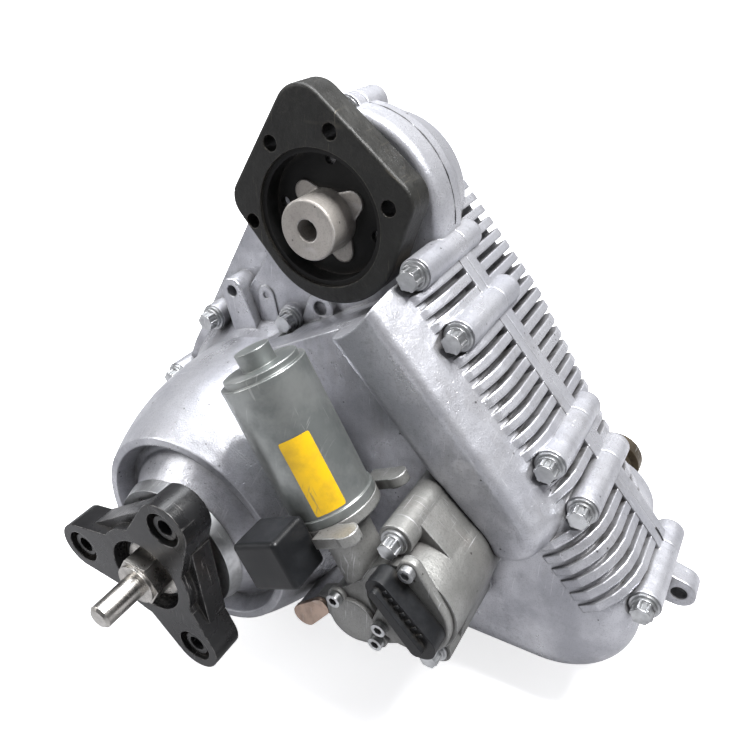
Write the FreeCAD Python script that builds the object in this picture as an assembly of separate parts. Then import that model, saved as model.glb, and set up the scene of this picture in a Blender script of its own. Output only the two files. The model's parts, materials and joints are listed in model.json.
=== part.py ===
import FreeCAD, Part
import math
import os

V = FreeCAD.Vector

# Chain-driven transfer case, all sizes in millimetres.
# Every shaft runs along Y. Stations start at the centre of the rear output flange's face.
# -Y points out of the rear output, +Y towards the gearbox, +Z up. Stations are worked out
# from that face; every piece is saved moved back by BELL_Y, so that the origin of the files
# is the centre of the face that bolts to the gearbox.

# ---------------------------------------------------------------- clearances
RUN = 0.05            # radial running fit of a shaft in its bore
GAP = 0.4             # air between pieces that pass each other

# ---------------------------------------------------------------- shaft centres (x, z)
CHAIN_PITCH = 12.7
SPROCKET_TEETH = 20
STRAND_PITCHES = 16   # links in each straight run of the chain
FRONT_AXIS_ANGLE = -6.1
CENTRE_DISTANCE = CHAIN_PITCH * STRAND_PITCHES
MAIN = (0.0, 0.0)
FRONT = (
    CENTRE_DISTANCE * math.cos(math.radians(FRONT_AXIS_ANGLE)),
    CENTRE_DISTANCE * math.sin(math.radians(FRONT_AXIS_ANGLE)),
)
MOUNT = (48.0, 181.0)
CAM = (148.0, 18.0)   # axis of the worm wheel and the cam shaft

# ---------------------------------------------------------------- stations along Y
NECK_Y = 27.0         # rear face of the seal neck
HOOD_Y = 40.0         # lip of the hood round the neck
WALL_Y = 108.0        # rear wall of the chain case
BAND_Y = 90.0         # crown of the raised band along the ribs
SPLIT_Y = 165.0       # joint between the two halves
SEAT_Y = 120.0        # seats of the housing bolts along the ribs
DOME_SEAT_Y = 142.0   # seats of the bolts round the dome
ARM_SEAT_Y = 156.0    # seat of the bolt on top of the mount arm
LOWER_SEAT_Y = 181.0  # seats of the bolts that go in from the front cover's side
SLOPE_LOW_Y = 182.0   # low end of the cover's sloping front wall
FRONT_NECK_Y = 222.0  # face of the front output's neck
COVER_Y = 224.0       # front wall of the front cover
BELL_Y = 248.0        # face towards the gearbox

# ---------------------------------------------------------------- case
DOME_R = 90.0
HOOD_R = 68.0
FLANGE_R = 106.0      # split flange round the dome
FLANGE_T = 8.0        # thickness of the split flange, each half
CASE_END_R = 60.0     # split flange round the front output
ARM_END_R = 36.0      # split flange round the mount arm
RIB_H = 8.0
RIB_T = 5.2
RIB_PITCH = 8.8
SLOPE_LENGTH = 150.0  # of the sloping front wall, along the ribs
CHAIN_ROOM_R = 47.5   # room for the chain round the front sprocket
BOSS_R = 9.0
LOWER_BOSS_R = 6.5
LOWER_BOSS_Y = 148.0
WASHER_T = 1.6
SPOT_R = 9.4          # spot face round a bolt head
RIB_BOLTS = [-19.0, 48.0, 79.0, 163.0, 202.0]
DOME_BOLTS = [85.0, 123.0, 165.0, 207.0, 249.0, 285.0]
LUGS = [((-36.0, 113.0), 8.5, 4.0, 140.0), ((-13.0, 113.0), 6.5, 2.2, 146.0),
        ((31.0, 116.0), 9.5, 4.8, 143.0)]
ARM = (50.0, 178.0)
ARM_R = 58.0
ARM_Y = 147.0         # face that carries the rubber mount

# ---------------------------------------------------------------- rear output flange
BOLT_CIRCLE_R = 52.5
ARM_ANGLE = 64.1      # first arm, from +X towards +Z
FLANGE_ARM_R = 16.5
FLANGE_HUB_R = 33.0
FLANGE_THICK = 20.0
FLANGE_BORE_R = 25.0
FLANGE_HOLE_R = 5.1
PILOT_R = 7.3
PILOT_LENGTH = 35.0

# ---------------------------------------------------------------- main shaft line
SEAL_RUN_R = 25.0
BEARING_OD_R = 36.0
NECK_WALL = 5.0
NECK_R = BEARING_OD_R + NECK_WALL   # seal neck of the rear housing
BEARING_ID_R = 17.5
SHAFT_R = 19.0
SLEEVE_R = 23.0       # bore of the sprocket sleeve
SLEEVE_OUT_R = 27.0
DRUM_R = 74.0
DRUM_Y = 82.0
DRUM_END_Y = 120.0
DISC_T = 2.4
DISC_PAIRS = 4
LEVER_T = 8.0
RAMP_GAP = 4.0
RAMP_R = 42.0
RAMP_BALL_R = 4.1
DISC_STEP = 2 * (DISC_T + 0.3)
DISC_START = DRUM_Y + 7.0
PRESSURE_Y = DISC_START + DISC_STEP * DISC_PAIRS + 0.6
PRESSURE_END_Y = 117.0
PLATE_TRAVEL = 0.8    # of the pressure plate when the ramps lift
HUB_END_Y = PRESSURE_Y - PLATE_TRAVEL - 0.2
LEVER_REAR_Y = 123.0
LEVER_FRONT_Y = LEVER_REAR_Y + LEVER_T + RAMP_GAP
SPROCKET_Y = 159.0
SPROCKET_W = 22.0
CHAIN_ROOM_Y = SPROCKET_Y + SPROCKET_W + 5.0
PITCH_R = CHAIN_PITCH / (2 * math.sin(math.pi / SPROCKET_TEETH))
LEG_DEPTH = 4.4       # of a chain plate, inward from its joints' line
TIP_GAP = 0.5

# ---------------------------------------------------------------- control cam
CAM_SHAFT_R = 9.0
CAM_LOW_R = 12.0
CAM_HIGH_R = 20.0
ROLLER_R = 6.0
ROLLER_GAP = 0.5
FORK_T = 2.0
CAM_ANGLE = math.degrees(math.atan2(CAM[1], CAM[0]))
CAM_REACH = math.hypot(CAM[0], CAM[1])
LEVER_ROOM_R = 40.0   # room for the swing of the levers round the cam

# ---------------------------------------------------------------- front output
FRONT_BEARING_OD_R = 31.0
FRONT_BEARING_ID_R = 15.0
FRONT_END_Y = 276.0
COLLAR_Y = 263.0    # near face of the front output's end collar
STUB_R = 20.0

# ---------------------------------------------------------------- servo motor and worm drive
MOTOR_ANGLE = -61.0   # direction of the motor shaft in the X-Z plane
MOTOR_Y = 56.0
MOTOR_R = 23.5
MOTOR_LENGTH = 84.0
WORM_CENTRES = 29.0
WHEEL_TEETH = 30
WORM_PITCH_R = 6.0
WHEEL_PITCH_R = WORM_CENTRES - WORM_PITCH_R
MODULE = 2 * WHEEL_PITCH_R / WHEEL_TEETH
WORM_LEAD = math.pi * MODULE
WHEEL_W = 10.0
CAM_STEP_Y = 72.0
MOTOR_SHAFT_R = 3.0
CAN_FRONT = -58.0     # motor flange along the motor shaft
CAN_BACK = CAN_FRONT - MOTOR_LENGTH
ACT_FACE_Y = 42.0     # rear face of the worm housing
ACT_BASE_Y = 104.0    # its foot on the case
ACT_FEET = [(135.5, 53.0), (161.5, -15.0)]
SENSOR_FEET = [(150.0, 51.0), (135.0, 1.0)]
PAD = (116.0, -9.0)   # bearing cover of the worm shaft
PAD_Y = ACT_FACE_Y
PAD_EARS = (128.0, -20.0)
BRACKET_FOOT = (80.0, -30.0)
BRACKET_EAR = (92.0, -16.0)

# ---------------------------------------------------------------- rubber mount
MOUNT_PLATE_Y = 119.0
MOUNT_PLATE_T = 18.0
MOUNT_CORE_Y = 110.0
MOUNT_CORE_R = 16.8
MOUNT_EYE_R = 38.0
FOOT_Y = 130.0        # lobed foot of the core, in the rubber
FOOT_T = 4.5
FOOT_ANGLES = (138.0, 37.0, -62.0, 215.0)
MOUNT_HOLE_R = 4.3
MOUNT_EYE = (49.0, 184.0)
MOUNT_HOLES = [(21.0, 220.5), (58.0, 231.0), (5.0, 175.5), (91.5, 198.0)]

# ---------------------------------------------------------------- gearbox flange
GEARBOX_PCD_R = 101.0
GEARBOX_BOLTS = 8
GEARBOX_HOLE_R = 5.5
GEARBOX_PILOT_R = 84.0


# ================================================================= helpers
def xz(angle, radius=1.0, centre=(0.0, 0.0)):
    """Point in the X-Z plane at an angle from +X towards +Z."""
    a = math.radians(angle)
    return (centre[0] + radius * math.cos(a), centre[1] + radius * math.sin(a))


def at(point, y):
    return V(point[0], y, point[1])


def rod(centre, r, y0, y1):
    return Part.makeCylinder(r, y1 - y0, at(centre, y0), V(0, 1, 0))


def ring(centre, r_out, r_in, y0, y1):
    return rod(centre, r_out, y0, y1).cut(rod(centre, r_in, y0 - 1, y1 + 1))


def cone(centre, r0, r1, y0, y1):
    return Part.makeCone(r0, r1, y1 - y0, at(centre, y0), V(0, 1, 0))


def turned(profile, centre=(0.0, 0.0)):
    """Solid of revolution about a Y axis from (y, r) corners."""
    points = [V(r, y, 0) for y, r in profile]
    face = Part.Face(Part.makePolygon(points + points[:1]))
    solid = face.revolve(V(0, 0, 0), V(0, 1, 0), 360)
    solid.translate(at(centre, 0))
    return solid


def fuse(shapes):
    shapes = list(shapes)
    return shapes[0].multiFuse(shapes[1:]).removeSplitter()


def cut(body, tools):
    tools = list(tools)
    return body.cut(tools) if len(tools) > 1 else body.cut(tools[0])


def tangent_points(a, ra, b, rb):
    """Ends of the outer tangent that has both circles on its left going a to b."""
    dx = b[0] - a[0]
    dz = b[1] - a[1]
    base = math.degrees(math.atan2(dz, dx))
    turn = math.degrees(math.acos((ra - rb) / math.hypot(dx, dz)))
    return xz(base - turn, ra, a), xz(base - turn, rb, b)


def hull_wire(circles, y):
    """Outline round circles ((x, z), r) listed counter-clockwise, as arcs and tangents."""
    count = len(circles)
    lines = []
    for i in range(count):
        a, ra = circles[i]
        b, rb = circles[(i + 1) % count]
        lines.append(tangent_points(a, ra, b, rb))
    edges = []
    for i in range(count):
        centre, r = circles[i]
        start = lines[i - 1][1]
        end = lines[i][0]
        a0 = math.atan2(start[1] - centre[1], start[0] - centre[0])
        a1 = math.atan2(end[1] - centre[1], end[0] - centre[0])
        while a1 <= a0:
            a1 += 2 * math.pi
        middle = xz(math.degrees((a0 + a1) / 2), r, centre)
        edges.append(Part.Arc(at(start, y), at(middle, y), at(end, y)).toShape())
        edges.append(Part.makeLine(at(end, y), at(lines[i][1], y)))
    return Part.Wire(edges)


def hull(circles, y0, y1, draft=0.0):
    """Prism round circles; draft is how much each radius shrinks at y1."""
    if draft:
        small = [(centre, r - draft) for centre, r in circles]
        return Part.makeLoft([hull_wire(circles, y0), hull_wire(small, y1)], True)
    return Part.Face(hull_wire(circles, y0)).extrude(V(0, y1 - y0, 0))


def polygon(points, y0, y1):
    corners = [at(p, y0) for p in points]
    return Part.Face(Part.makePolygon(corners + corners[:1])).extrude(V(0, y1 - y0, 0))


def grown(circles, by):
    return [(centre, r + by) for centre, r in circles]


def rim_edges(shape, y):
    """Edges that lie wholly in the plane of one station."""
    found = []
    for edge in shape.Edges:
        box = edge.BoundBox
        if abs(box.YMin - y) < 1e-4 and abs(box.YMax - y) < 1e-4:
            found.append(edge)
    return found


def spread(count, radius, start=0.0, centre=(0.0, 0.0)):
    return [xz(start + 360.0 * i / count, radius, centre) for i in range(count)]


def save(name, shape):
    shape.translate(V(0, -BELL_Y, 0))
    shape.exportStep(os.path.join("parts", name + ".step"))


# ================================================================= case outlines
def flange_outline():
    return [(MAIN, FLANGE_R), (FRONT, CASE_END_R), (MOUNT, ARM_END_R)]


def wall_outline(dome_r):
    return [(MAIN, dome_r), (FRONT, CASE_END_R - RIB_H), (MOUNT, ARM_END_R - RIB_H)]


def web_outline(shrink):
    """Dome and mount arm joined by a straight side on the left."""
    return [(MAIN, FLANGE_R - shrink), (ARM, ARM_R - shrink)]


def rib_frame():
    """Start, direction and outward normal of the straight ribbed side."""
    low, high = tangent_points(FRONT, CASE_END_R, MOUNT, ARM_END_R)
    length = math.hypot(high[0] - low[0], high[1] - low[1])
    along = ((high[0] - low[0]) / length, (high[1] - low[1]) / length)
    outward = (along[1], -along[0])
    return low, along, outward, length


def rib_point(s, n):
    """Point s along the ribbed side from its lower end, n outward from the flange edge."""
    low, along, outward, _ = rib_frame()
    return (low[0] + s * along[0] + n * outward[0], low[1] + s * along[1] + n * outward[1])


def rib(s, profile):
    """One cooling rib: (n, y) profile, RIB_T thick along the side."""
    _, along, _, _ = rib_frame()
    start = s - RIB_T / 2
    points = [at(rib_point(start, n), y) for n, y in profile]
    face = Part.Face(Part.makePolygon(points + points[:1]))
    return face.extrude(V(along[0] * RIB_T, 0, along[1] * RIB_T))


def housing_bolt_seats():
    """Centre and seat station of every bolt that goes in from the rear housing's side."""
    seats = [(xz(25.0, CASE_END_R - 3.0, FRONT), SEAT_Y)]
    seats += [(rib_point(s, -3.0), SEAT_Y) for s in RIB_BOLTS[1:]]
    seats += [(xz(a, FLANGE_R - 2.0, MAIN), DOME_SEAT_Y) for a in DOME_BOLTS]
    seats.append((xz(95.0, ARM_R - 4.0, ARM), ARM_SEAT_Y))
    return seats


def lower_bolt_centres():
    """Bolts of the lower edge, which go in from the front cover's side."""
    return [xz(a, CASE_END_R - 5.0, FRONT) for a in (-40.0, -95.0)] + [(66.0, -90.0)]


# ================================================================= rear housing
def dome_outer():
    """Dome with hood lip and seal neck, outer skin, turned."""
    edges = []
    start = V(NECK_R, NECK_Y, 0)
    pocket_in = V(NECK_R + 13, HOOD_Y + 10, 0)
    pocket_out = V(HOOD_R - 9, HOOD_Y + 12, 0)
    lip_in = V(HOOD_R - 5, HOOD_Y, 0)
    lip_out = V(HOOD_R, HOOD_Y, 0)
    shoulder = V(DOME_R - 6, 84, 0)
    waist = V(DOME_R - 2, 134, 0)
    flare = V(FLANGE_R - 8, SPLIT_Y - FLANGE_T - 5, 0)
    edges.append(Part.makeLine(V(0, NECK_Y, 0), start))
    edges.append(Part.makeLine(start, V(NECK_R, NECK_Y + 6, 0)))
    edges.append(Part.makeLine(V(NECK_R, NECK_Y + 6, 0), pocket_in))
    edges.append(Part.makeLine(pocket_in, pocket_out))
    edges.append(Part.makeLine(pocket_out, lip_in))
    edges.append(Part.makeLine(lip_in, lip_out))
    edges.append(Part.Arc(lip_out, V(HOOD_R + 9, 60, 0), shoulder).toShape())
    edges.append(Part.Arc(shoulder, V(DOME_R - 3, 108, 0), waist).toShape())
    edges.append(Part.makeLine(waist, flare))
    edges.append(Part.makeLine(flare, V(FLANGE_R - 8, SPLIT_Y, 0)))
    edges.append(Part.makeLine(V(FLANGE_R - 8, SPLIT_Y, 0), V(0, SPLIT_Y, 0)))
    edges.append(Part.makeLine(V(0, SPLIT_Y, 0), V(0, NECK_Y, 0)))
    return Part.Face(Part.Wire(edges)).revolve(V(0, 0, 0), V(0, 1, 0), 360)


def dome_inner():
    """Room for the seal, the bearing, the pump, the clutch and the levers."""
    return turned([
        (NECK_Y - 1, 0), (NECK_Y - 1, BEARING_OD_R), (58, BEARING_OD_R), (62, BEARING_OD_R + 4),
        (68, BEARING_OD_R + 6), (68, 59), (80, DRUM_R + 2), (108, DRUM_R + 6),
        (SPLIT_Y + 1, DRUM_R + 10), (SPLIT_Y + 1, 0),
    ])


def raised_band():
    """Crowned band that runs inside the ribbed side, over the oil channel."""
    middle = -34.0
    ends = [(rib_point(62.0, middle), 17.0), (rib_point(200.0, middle), 17.0)]
    band = Part.makeLoft([hull_wire(ends, BAND_Y), hull_wire(grown(ends, 9.0), SEAT_Y)], True)
    band = band.makeFillet(7.0, rim_edges(band, BAND_Y))
    return band.cut(hull([(CAM, 29.0), (ACT_FEET[0], 11.0)], BAND_Y - 10, WALL_Y))


def rear_wall():
    """Body of the chain case behind the ribs, with a rounded rear rim."""
    body = hull(wall_outline(DOME_R - 6), WALL_Y, SPLIT_Y)
    return body.makeFillet(19.0, rim_edges(body, WALL_Y))


def rear_ribs():
    """Ribs of the rear half, in three groups between the bolt bosses."""
    profile = [
        (-RIB_H - 3, SPLIT_Y), (-0.5, SPLIT_Y), (-0.5, SEAT_Y + 14), (-2.5, SEAT_Y + 4),
        (-7.0, SEAT_Y - 4), (-13.0, SEAT_Y - 10), (-22.0, SEAT_Y - 14.5), (-34.0, WALL_Y - 1),
        (-34.0, WALL_Y + 8), (-RIB_H - 12, SEAT_Y + 10),
    ]
    groups = [(63.0, 2), (RIB_BOLTS[2] + 11.5, 8), (RIB_BOLTS[3] + 11.0, 3)]
    lower = [RIB_PITCH * i - 3.0 for i in range(6)]
    places = list(lower)
    for start, count in groups:
        places += [start + RIB_PITCH * i for i in range(count)]
    return [rib(s, profile) for s in places]


def lug(centre, root, r, y0, y1, hole):
    body = hull([(root, r * 1.2), (centre, r)], y0, y1)
    return body.cut(rod(centre, hole, y0 - 1, y1 + 1))


def rear_housing():
    solid = fuse([rear_wall(), raised_band()])
    mount_room = hull([(MOUNT, 55.0), ((MOUNT[0], MOUNT[1] + 90), 70.0), ((-62.0, 142.0), 74.0)],
                      BAND_Y - 20, ARM_Y)
    solid = solid.cut(mount_room)
    arm = rod(ARM, ARM_R, ARM_Y, SPLIT_Y)
    arm = arm.makeFillet(5.0, rim_edges(arm, ARM_Y))
    cam_boss = rod(CAM, 28.0, ACT_BASE_Y, WALL_Y + 6)
    foot_bosses = [rod(p, 10.0, ACT_BASE_Y, WALL_Y + 6) for p in ACT_FEET]
    foot_bosses.append(rod(BRACKET_FOOT, 7.0, PAD_Y + 3, 92.0))
    ears = [lug(p, (p[0] * 0.8, p[1] * 0.8), r, y0, SPLIT_Y, hole) for p, r, hole, y0 in LUGS]
    flange = hull(flange_outline(), SPLIT_Y - FLANGE_T, SPLIT_Y)
    web = hull(web_outline(0.6), SPLIT_Y - FLANGE_T - 1, SPLIT_Y)
    solid = fuse([dome_outer(), solid, arm, cam_boss, flange, web] + foot_bosses + ears + rear_ribs()
                 + [rod(p, BOSS_R, seat, SPLIT_Y) for p, seat in housing_bolt_seats()]
                 + [rod(p, LOWER_BOSS_R, LOWER_BOSS_Y, SPLIT_Y) for p in lower_bolt_centres()])
    chain_room = hull([(MAIN, 55.0), (FRONT, CHAIN_ROOM_R)], 142.0, SPLIT_Y + 1)
    swing = xz(CAM_ANGLE, CAM_REACH - 10)
    lever_room = hull([(MAIN, 60.0), (swing, LEVER_ROOM_R)], 116.0, 150.0)
    bearing_room = rod(FRONT, FRONT_BEARING_OD_R, 122.0, SPLIT_Y)
    cam_bore = rod(CAM, CAM_SHAFT_R + RUN, ACT_BASE_Y - 1, 120.0)
    holes = [rod(p, 4.5, seat - 1, SPLIT_Y + 1) for p, seat in housing_bolt_seats()]
    holes += [rod(p, SPOT_R, seat - 12, seat) for p, seat in housing_bolt_seats()]
    holes += [rod(p, 4.0, LOWER_BOSS_Y + 2, SPLIT_Y + 1) for p in lower_bolt_centres()]
    holes += [rod(p, 3.5, ACT_BASE_Y - 1, WALL_Y + 7) for p in ACT_FEET]
    holes.append(rod(MOUNT, 5.0, ARM_Y - 1, SPLIT_Y - 3))
    return cut(solid, [dome_inner(), chain_room, lever_room, bearing_room, cam_bore] + holes)


# ================================================================= front cover
def cover_end(s):
    """Station of the cover's front wall, which slopes down towards the front output."""
    return SLOPE_LOW_Y + (COVER_Y - SLOPE_LOW_Y) * min(1.0, max(0.0, s / SLOPE_LENGTH))


def slope_cutter():
    """Everything in front of the sloping front wall."""
    spots = [(-200.0, cover_end(0)), (0.0, cover_end(0)), (SLOPE_LENGTH, COVER_Y),
             (400.0, COVER_Y), (400.0, COVER_Y + 60), (-200.0, COVER_Y + 60)]
    points = [at(rib_point(s, -400.0), y) for s, y in spots]
    _, _, outward, _ = rib_frame()
    return Part.Face(Part.makePolygon(points + points[:1])).extrude(
        V(outward[0] * 500, 0, outward[1] * 500))


def cover_ribs():
    _, _, _, length = rib_frame()
    ribs = []
    for i in range(int((length - 4) / RIB_PITCH)):
        s = RIB_PITCH * i - 3.0
        end = cover_end(s)
        ribs.append(rib(s, [
            (-RIB_H - 3, SPLIT_Y), (-0.5, SPLIT_Y), (-1.5, end - 12), (-4.5, end - 3),
            (-RIB_H - 2, end + 1), (-RIB_H - 12, end - 1),
        ]))
    return ribs


def front_cover():
    body = hull(wall_outline(FLANGE_R - 6), SPLIT_Y, COVER_Y + 1, 5.0).cut(slope_cutter())
    arm = cone(ARM, ARM_R, ARM_R - 13, SPLIT_Y, SPLIT_Y + 44)
    arm = arm.makeFillet(10.0, rim_edges(arm, SPLIT_Y + 44))
    flange = hull(flange_outline(), SPLIT_Y, SPLIT_Y + FLANGE_T)
    web = hull(web_outline(0.6), SPLIT_Y, SPLIT_Y + FLANGE_T + 1)
    side_wall = hull(web_outline(9.0), SPLIT_Y, SPLIT_Y + 42, 6.0)
    rear_side = [p for p, _ in housing_bolt_seats()]
    lower = lower_bolt_centres()
    bosses = [rod(p, BOSS_R, SPLIT_Y, SPLIT_Y + 20) for p in rear_side]
    bosses += [rod(p, BOSS_R, SPLIT_Y, LOWER_SEAT_Y) for p in lower]
    bell = turned([
        (COVER_Y - 20, 60), (COVER_Y - 20, 92), (BELL_Y - 12, 98), (BELL_Y - 12, 110),
        (BELL_Y, 110), (BELL_Y, 60),
    ])
    neck = turned([
        (SPLIT_Y + 3, 0), (SPLIT_Y + 3, 50), (FRONT_NECK_Y, 39), (FRONT_NECK_Y, 0),
    ], FRONT)
    ear = lug(xz(-8.0, CASE_END_R + 8, FRONT), xz(-8.0, CASE_END_R - 14, FRONT), 10.0,
              SPLIT_Y + 6, SPLIT_Y + 20, 5.0)
    solid = fuse([body, arm, flange, web, side_wall, bell, neck, ear] + bosses + cover_ribs())
    tools = [rod(p, 4.0, SPLIT_Y - 1, SPLIT_Y + 16) for p in rear_side]
    tools += [rod(p, 4.5, SPLIT_Y - 1, LOWER_SEAT_Y + 1) for p in lower]
    tools += [rod(p, SPOT_R, LOWER_SEAT_Y, COVER_Y) for p in lower]
    tools += [
        rod(p, GEARBOX_HOLE_R, BELL_Y - 14, BELL_Y + 1)
        for p in spread(GEARBOX_BOLTS, GEARBOX_PCD_R, 22.5)
    ]
    tools.append(hull([(MAIN, 84.0), (FRONT, CHAIN_ROOM_R)], SPLIT_Y - 1, CHAIN_ROOM_Y))
    tools.append(turned([
        (SPLIT_Y, 0), (SPLIT_Y, BEARING_OD_R), (208, BEARING_OD_R), (208, 33),
        (BELL_Y - 20, 33), (BELL_Y - 20, 60), (BELL_Y - 10, GEARBOX_PILOT_R),
        (BELL_Y + 1, GEARBOX_PILOT_R), (BELL_Y + 1, 0),
    ]))
    tools.append(turned([
        (SPLIT_Y, 0), (SPLIT_Y, BEARING_OD_R), (204, BEARING_OD_R), (204, 33),
        (FRONT_NECK_Y + 1, 33), (FRONT_NECK_Y + 1, 0),
    ], FRONT))
    return cut(solid, tools)


# ================================================================= fasteners
def torx_bolt(centre, seat, length, r=4.0):
    """Flanged bolt with an outer six-lobe head, seated at y = seat."""
    head = rod(centre, r * 1.3, seat - 8.0, seat)
    lobes = [rod(p, r * 0.34, seat - 7.6, seat - 1) for p in spread(6, r * 1.22, 0.0, centre)]
    collar = rod(centre, r * 1.7, seat - 1.8, seat)
    shank = rod(centre, r - 0.2, seat - 1, seat + length)
    return fuse([head, collar, shank] + lobes)


def housing_bolts():
    bolts = [
        torx_bolt(p, seat - WASHER_T, SPLIT_Y + 15 - seat) for p, seat in housing_bolt_seats()
    ]
    for p in lower_bolt_centres():
        bolt = torx_bolt(p, 0.0, 30.0)
        bolt.rotate(at(p, 0), V(0, 0, 1), 180)
        bolt.translate(V(0, LOWER_SEAT_Y, 0))
        bolts.append(bolt)
    return Part.makeCompound(bolts)


def housing_washers():
    return Part.makeCompound([
        ring(p, 8.3, 4.1, seat - WASHER_T, seat) for p, seat in housing_bolt_seats()
    ])


# ================================================================= main shaft line
def main_shaft():
    return turned([
        (-PILOT_LENGTH, 0), (-PILOT_LENGTH, PILOT_R - 1.5), (1.5 - PILOT_LENGTH, PILOT_R),
        (-8, PILOT_R), (-8, 10), (10, 10), (10, 15), (36, 15), (36, BEARING_ID_R),
        (56, BEARING_ID_R), (56, 21), (66, 21), (66, SHAFT_R), (190, SHAFT_R), (190, 20),
        (208, 20), (208, 22), (BELL_Y - 2, 22), (BELL_Y - 2, 13), (215, 13), (209, 0),
    ])


def output_flange():
    arms = spread(3, BOLT_CIRCLE_R, ARM_ANGLE)
    plates = [hull([(MAIN, FLANGE_HUB_R - 9), (p, FLANGE_ARM_R)], 0, FLANGE_THICK) for p in arms]
    hub = turned([
        (0, 0), (0, FLANGE_HUB_R), (FLANGE_THICK, FLANGE_HUB_R), (FLANGE_THICK + 1, 30),
        (FLANGE_THICK + 4, SEAL_RUN_R), (36, SEAL_RUN_R), (36, 0),
    ])
    webs = [
        polygon([xz(ARM_ANGLE + 60 + 120 * i - 42, 30), xz(ARM_ANGLE + 60 + 120 * i + 42, 30),
                 xz(ARM_ANGLE + 60 + 120 * i + 36, 46), xz(ARM_ANGLE + 60 + 120 * i - 36, 46)],
                6, FLANGE_THICK)
        for i in range(3)
    ]
    solid = fuse([hub] + plates + webs)
    pockets = [rod(p, 11.0, -1, 7) for p in arms]
    collars = [ring(p, 8.0, FLANGE_HOLE_R, 2.0, 8) for p in arms]
    solid = cut(solid, pockets)
    solid = fuse([solid] + collars)
    recess = turned([(-1, 0), (-1, FLANGE_BORE_R), (10, FLANGE_BORE_R - 2), (10, 15),
                     (37, 15), (37, 0)])
    return cut(solid, [recess] + [rod(p, FLANGE_HOLE_R, -1, FLANGE_THICK + 1) for p in arms])


def flange_nut():
    collar = rod(MAIN, 19.0, 6.5, 10)
    hexagon = polygon(spread(6, 15.6), -6.0, 7)
    nose = rod(MAIN, 12.8, -8, 0)
    return fuse([collar, hexagon, nose]).cut(rod(MAIN, 10, -9, 11))


def clutch_drum():
    drum = turned([
        (DRUM_Y, SHAFT_R), (DRUM_Y, DRUM_R), (DRUM_END_Y, DRUM_R), (DRUM_END_Y, DRUM_R - 3),
        (DRUM_Y + 6, DRUM_R - 3), (DRUM_Y + 6, SHAFT_R),
    ])
    slots = [
        polygon([xz(a - 6, DRUM_R - 6), xz(a + 6, DRUM_R - 6), xz(a + 6, DRUM_R + 2),
                 xz(a - 6, DRUM_R + 2)], DRUM_Y + 7, DRUM_END_Y + 1)
        for a in range(0, 360, 45)
    ]
    return cut(drum, slots)


def lugged_disc(r_out, r_in, y0, y1, angle):
    """Disc whose eight lugs run in the drum's slots."""
    disc = ring(MAIN, r_out, r_in, y0, y1)
    lugs = [
        polygon([xz(a - angle, r_out - 2), xz(a + angle, r_out - 2), xz(a + angle, DRUM_R - 0.5),
                 xz(a - angle, DRUM_R - 0.5)], y0, y1)
        for a in range(0, 360, 45)
    ]
    return fuse([disc] + lugs)


def steel_plates():
    return Part.makeCompound([
        lugged_disc(DRUM_R - 4, 46.0, DISC_START + DISC_T + 0.3 + DISC_STEP * i,
                    DISC_START + 2 * DISC_T + 0.3 + DISC_STEP * i, 5.4)
        for i in range(DISC_PAIRS)
    ])


def friction_discs():
    return Part.makeCompound([
        ring(MAIN, 68.0, 42.0, DISC_START + DISC_STEP * i, DISC_START + DISC_T + DISC_STEP * i)
        for i in range(DISC_PAIRS)
    ])


def pressure_plate():
    plate = lugged_disc(DRUM_R - 4, 34.0, PRESSURE_Y, PRESSURE_Y + 4, 5.4)
    return fuse([plate, ring(MAIN, 56.0, 34.0, PRESSURE_Y + 3, PRESSURE_END_Y)])


def thrust_bearing(y0, y1):
    """Needle thrust washer: two races and a cage between them."""
    return fuse([
        ring(MAIN, 54.0, 36.0, y0, y0 + 1.2), ring(MAIN, 52.0, 38.0, y0 + 1, y1 - 1),
        ring(MAIN, 54.0, 36.0, y1 - 1.2, y1),
    ])


# ================================================================= ball ramp levers and cam
def roller_centre(side):
    return xz(CAM_ANGLE + 90 * side, CAM_LOW_R + ROLLER_R + ROLLER_GAP, CAM)


def ramp_lever(side, y0):
    """Ramp ring with a ball groove and an arm that forks round its roller beside the cam."""
    knee = xz(CAM_ANGLE + 90 * side, ROLLER_R + 22, xz(CAM_ANGLE, CAM_REACH - 40))
    tip = xz(CAM_ANGLE + 90 * side, 5.0, roller_centre(side))
    y1 = y0 + LEVER_T
    body = fuse([
        rod(MAIN, 56.0, y0, y1),
        hull([(xz(CAM_ANGLE + 25 * side, 40.0), 15.0), (knee, 8.0)], y0, y1),
        hull([(knee, 8.0), (tip, 6.0)], y0, y1),
    ])
    middle = LEVER_REAR_Y + LEVER_T + RAMP_GAP / 2
    grooves = [Part.makeTorus(RAMP_R, RAMP_BALL_R + 0.4, at(MAIN, middle), V(0, 1, 0))]
    bore = rod(MAIN, SLEEVE_OUT_R + GAP, y0 - 1, y1 + 1)
    fork = rod(roller_centre(side), ROLLER_R + GAP, y0 + FORK_T, y1 - FORK_T)
    return cut(body, grooves + [bore, fork])


def lever_roller(side, y0):
    """Roller and its pin in the lever's fork."""
    tip = roller_centre(side)
    y1 = y0 + LEVER_T
    return rod(tip, ROLLER_R, y0 + FORK_T + 0.2, y1 - FORK_T - 0.2)


def ramp_balls():
    middle = LEVER_REAR_Y + LEVER_T + RAMP_GAP / 2
    return Part.makeCompound([
        Part.makeSphere(RAMP_BALL_R, at(p, middle)) for p in spread(3, RAMP_R, 30.0)
    ])


def control_cam():
    """Two-lobed spiral cam between the rollers; its lobes lift as it turns."""
    points = []
    steps = 8
    for lobe in range(2):
        base = CAM_ANGLE + 90 + 180 * lobe
        for i in range(steps + 1):
            lift = (CAM_HIGH_R - CAM_LOW_R) * i / steps
            points.append(xz(base + 90.0 * i / steps, CAM_LOW_R + lift, CAM))
    return polygon(points, LEVER_REAR_Y + 1, LEVER_FRONT_Y + LEVER_T - 1)


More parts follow.
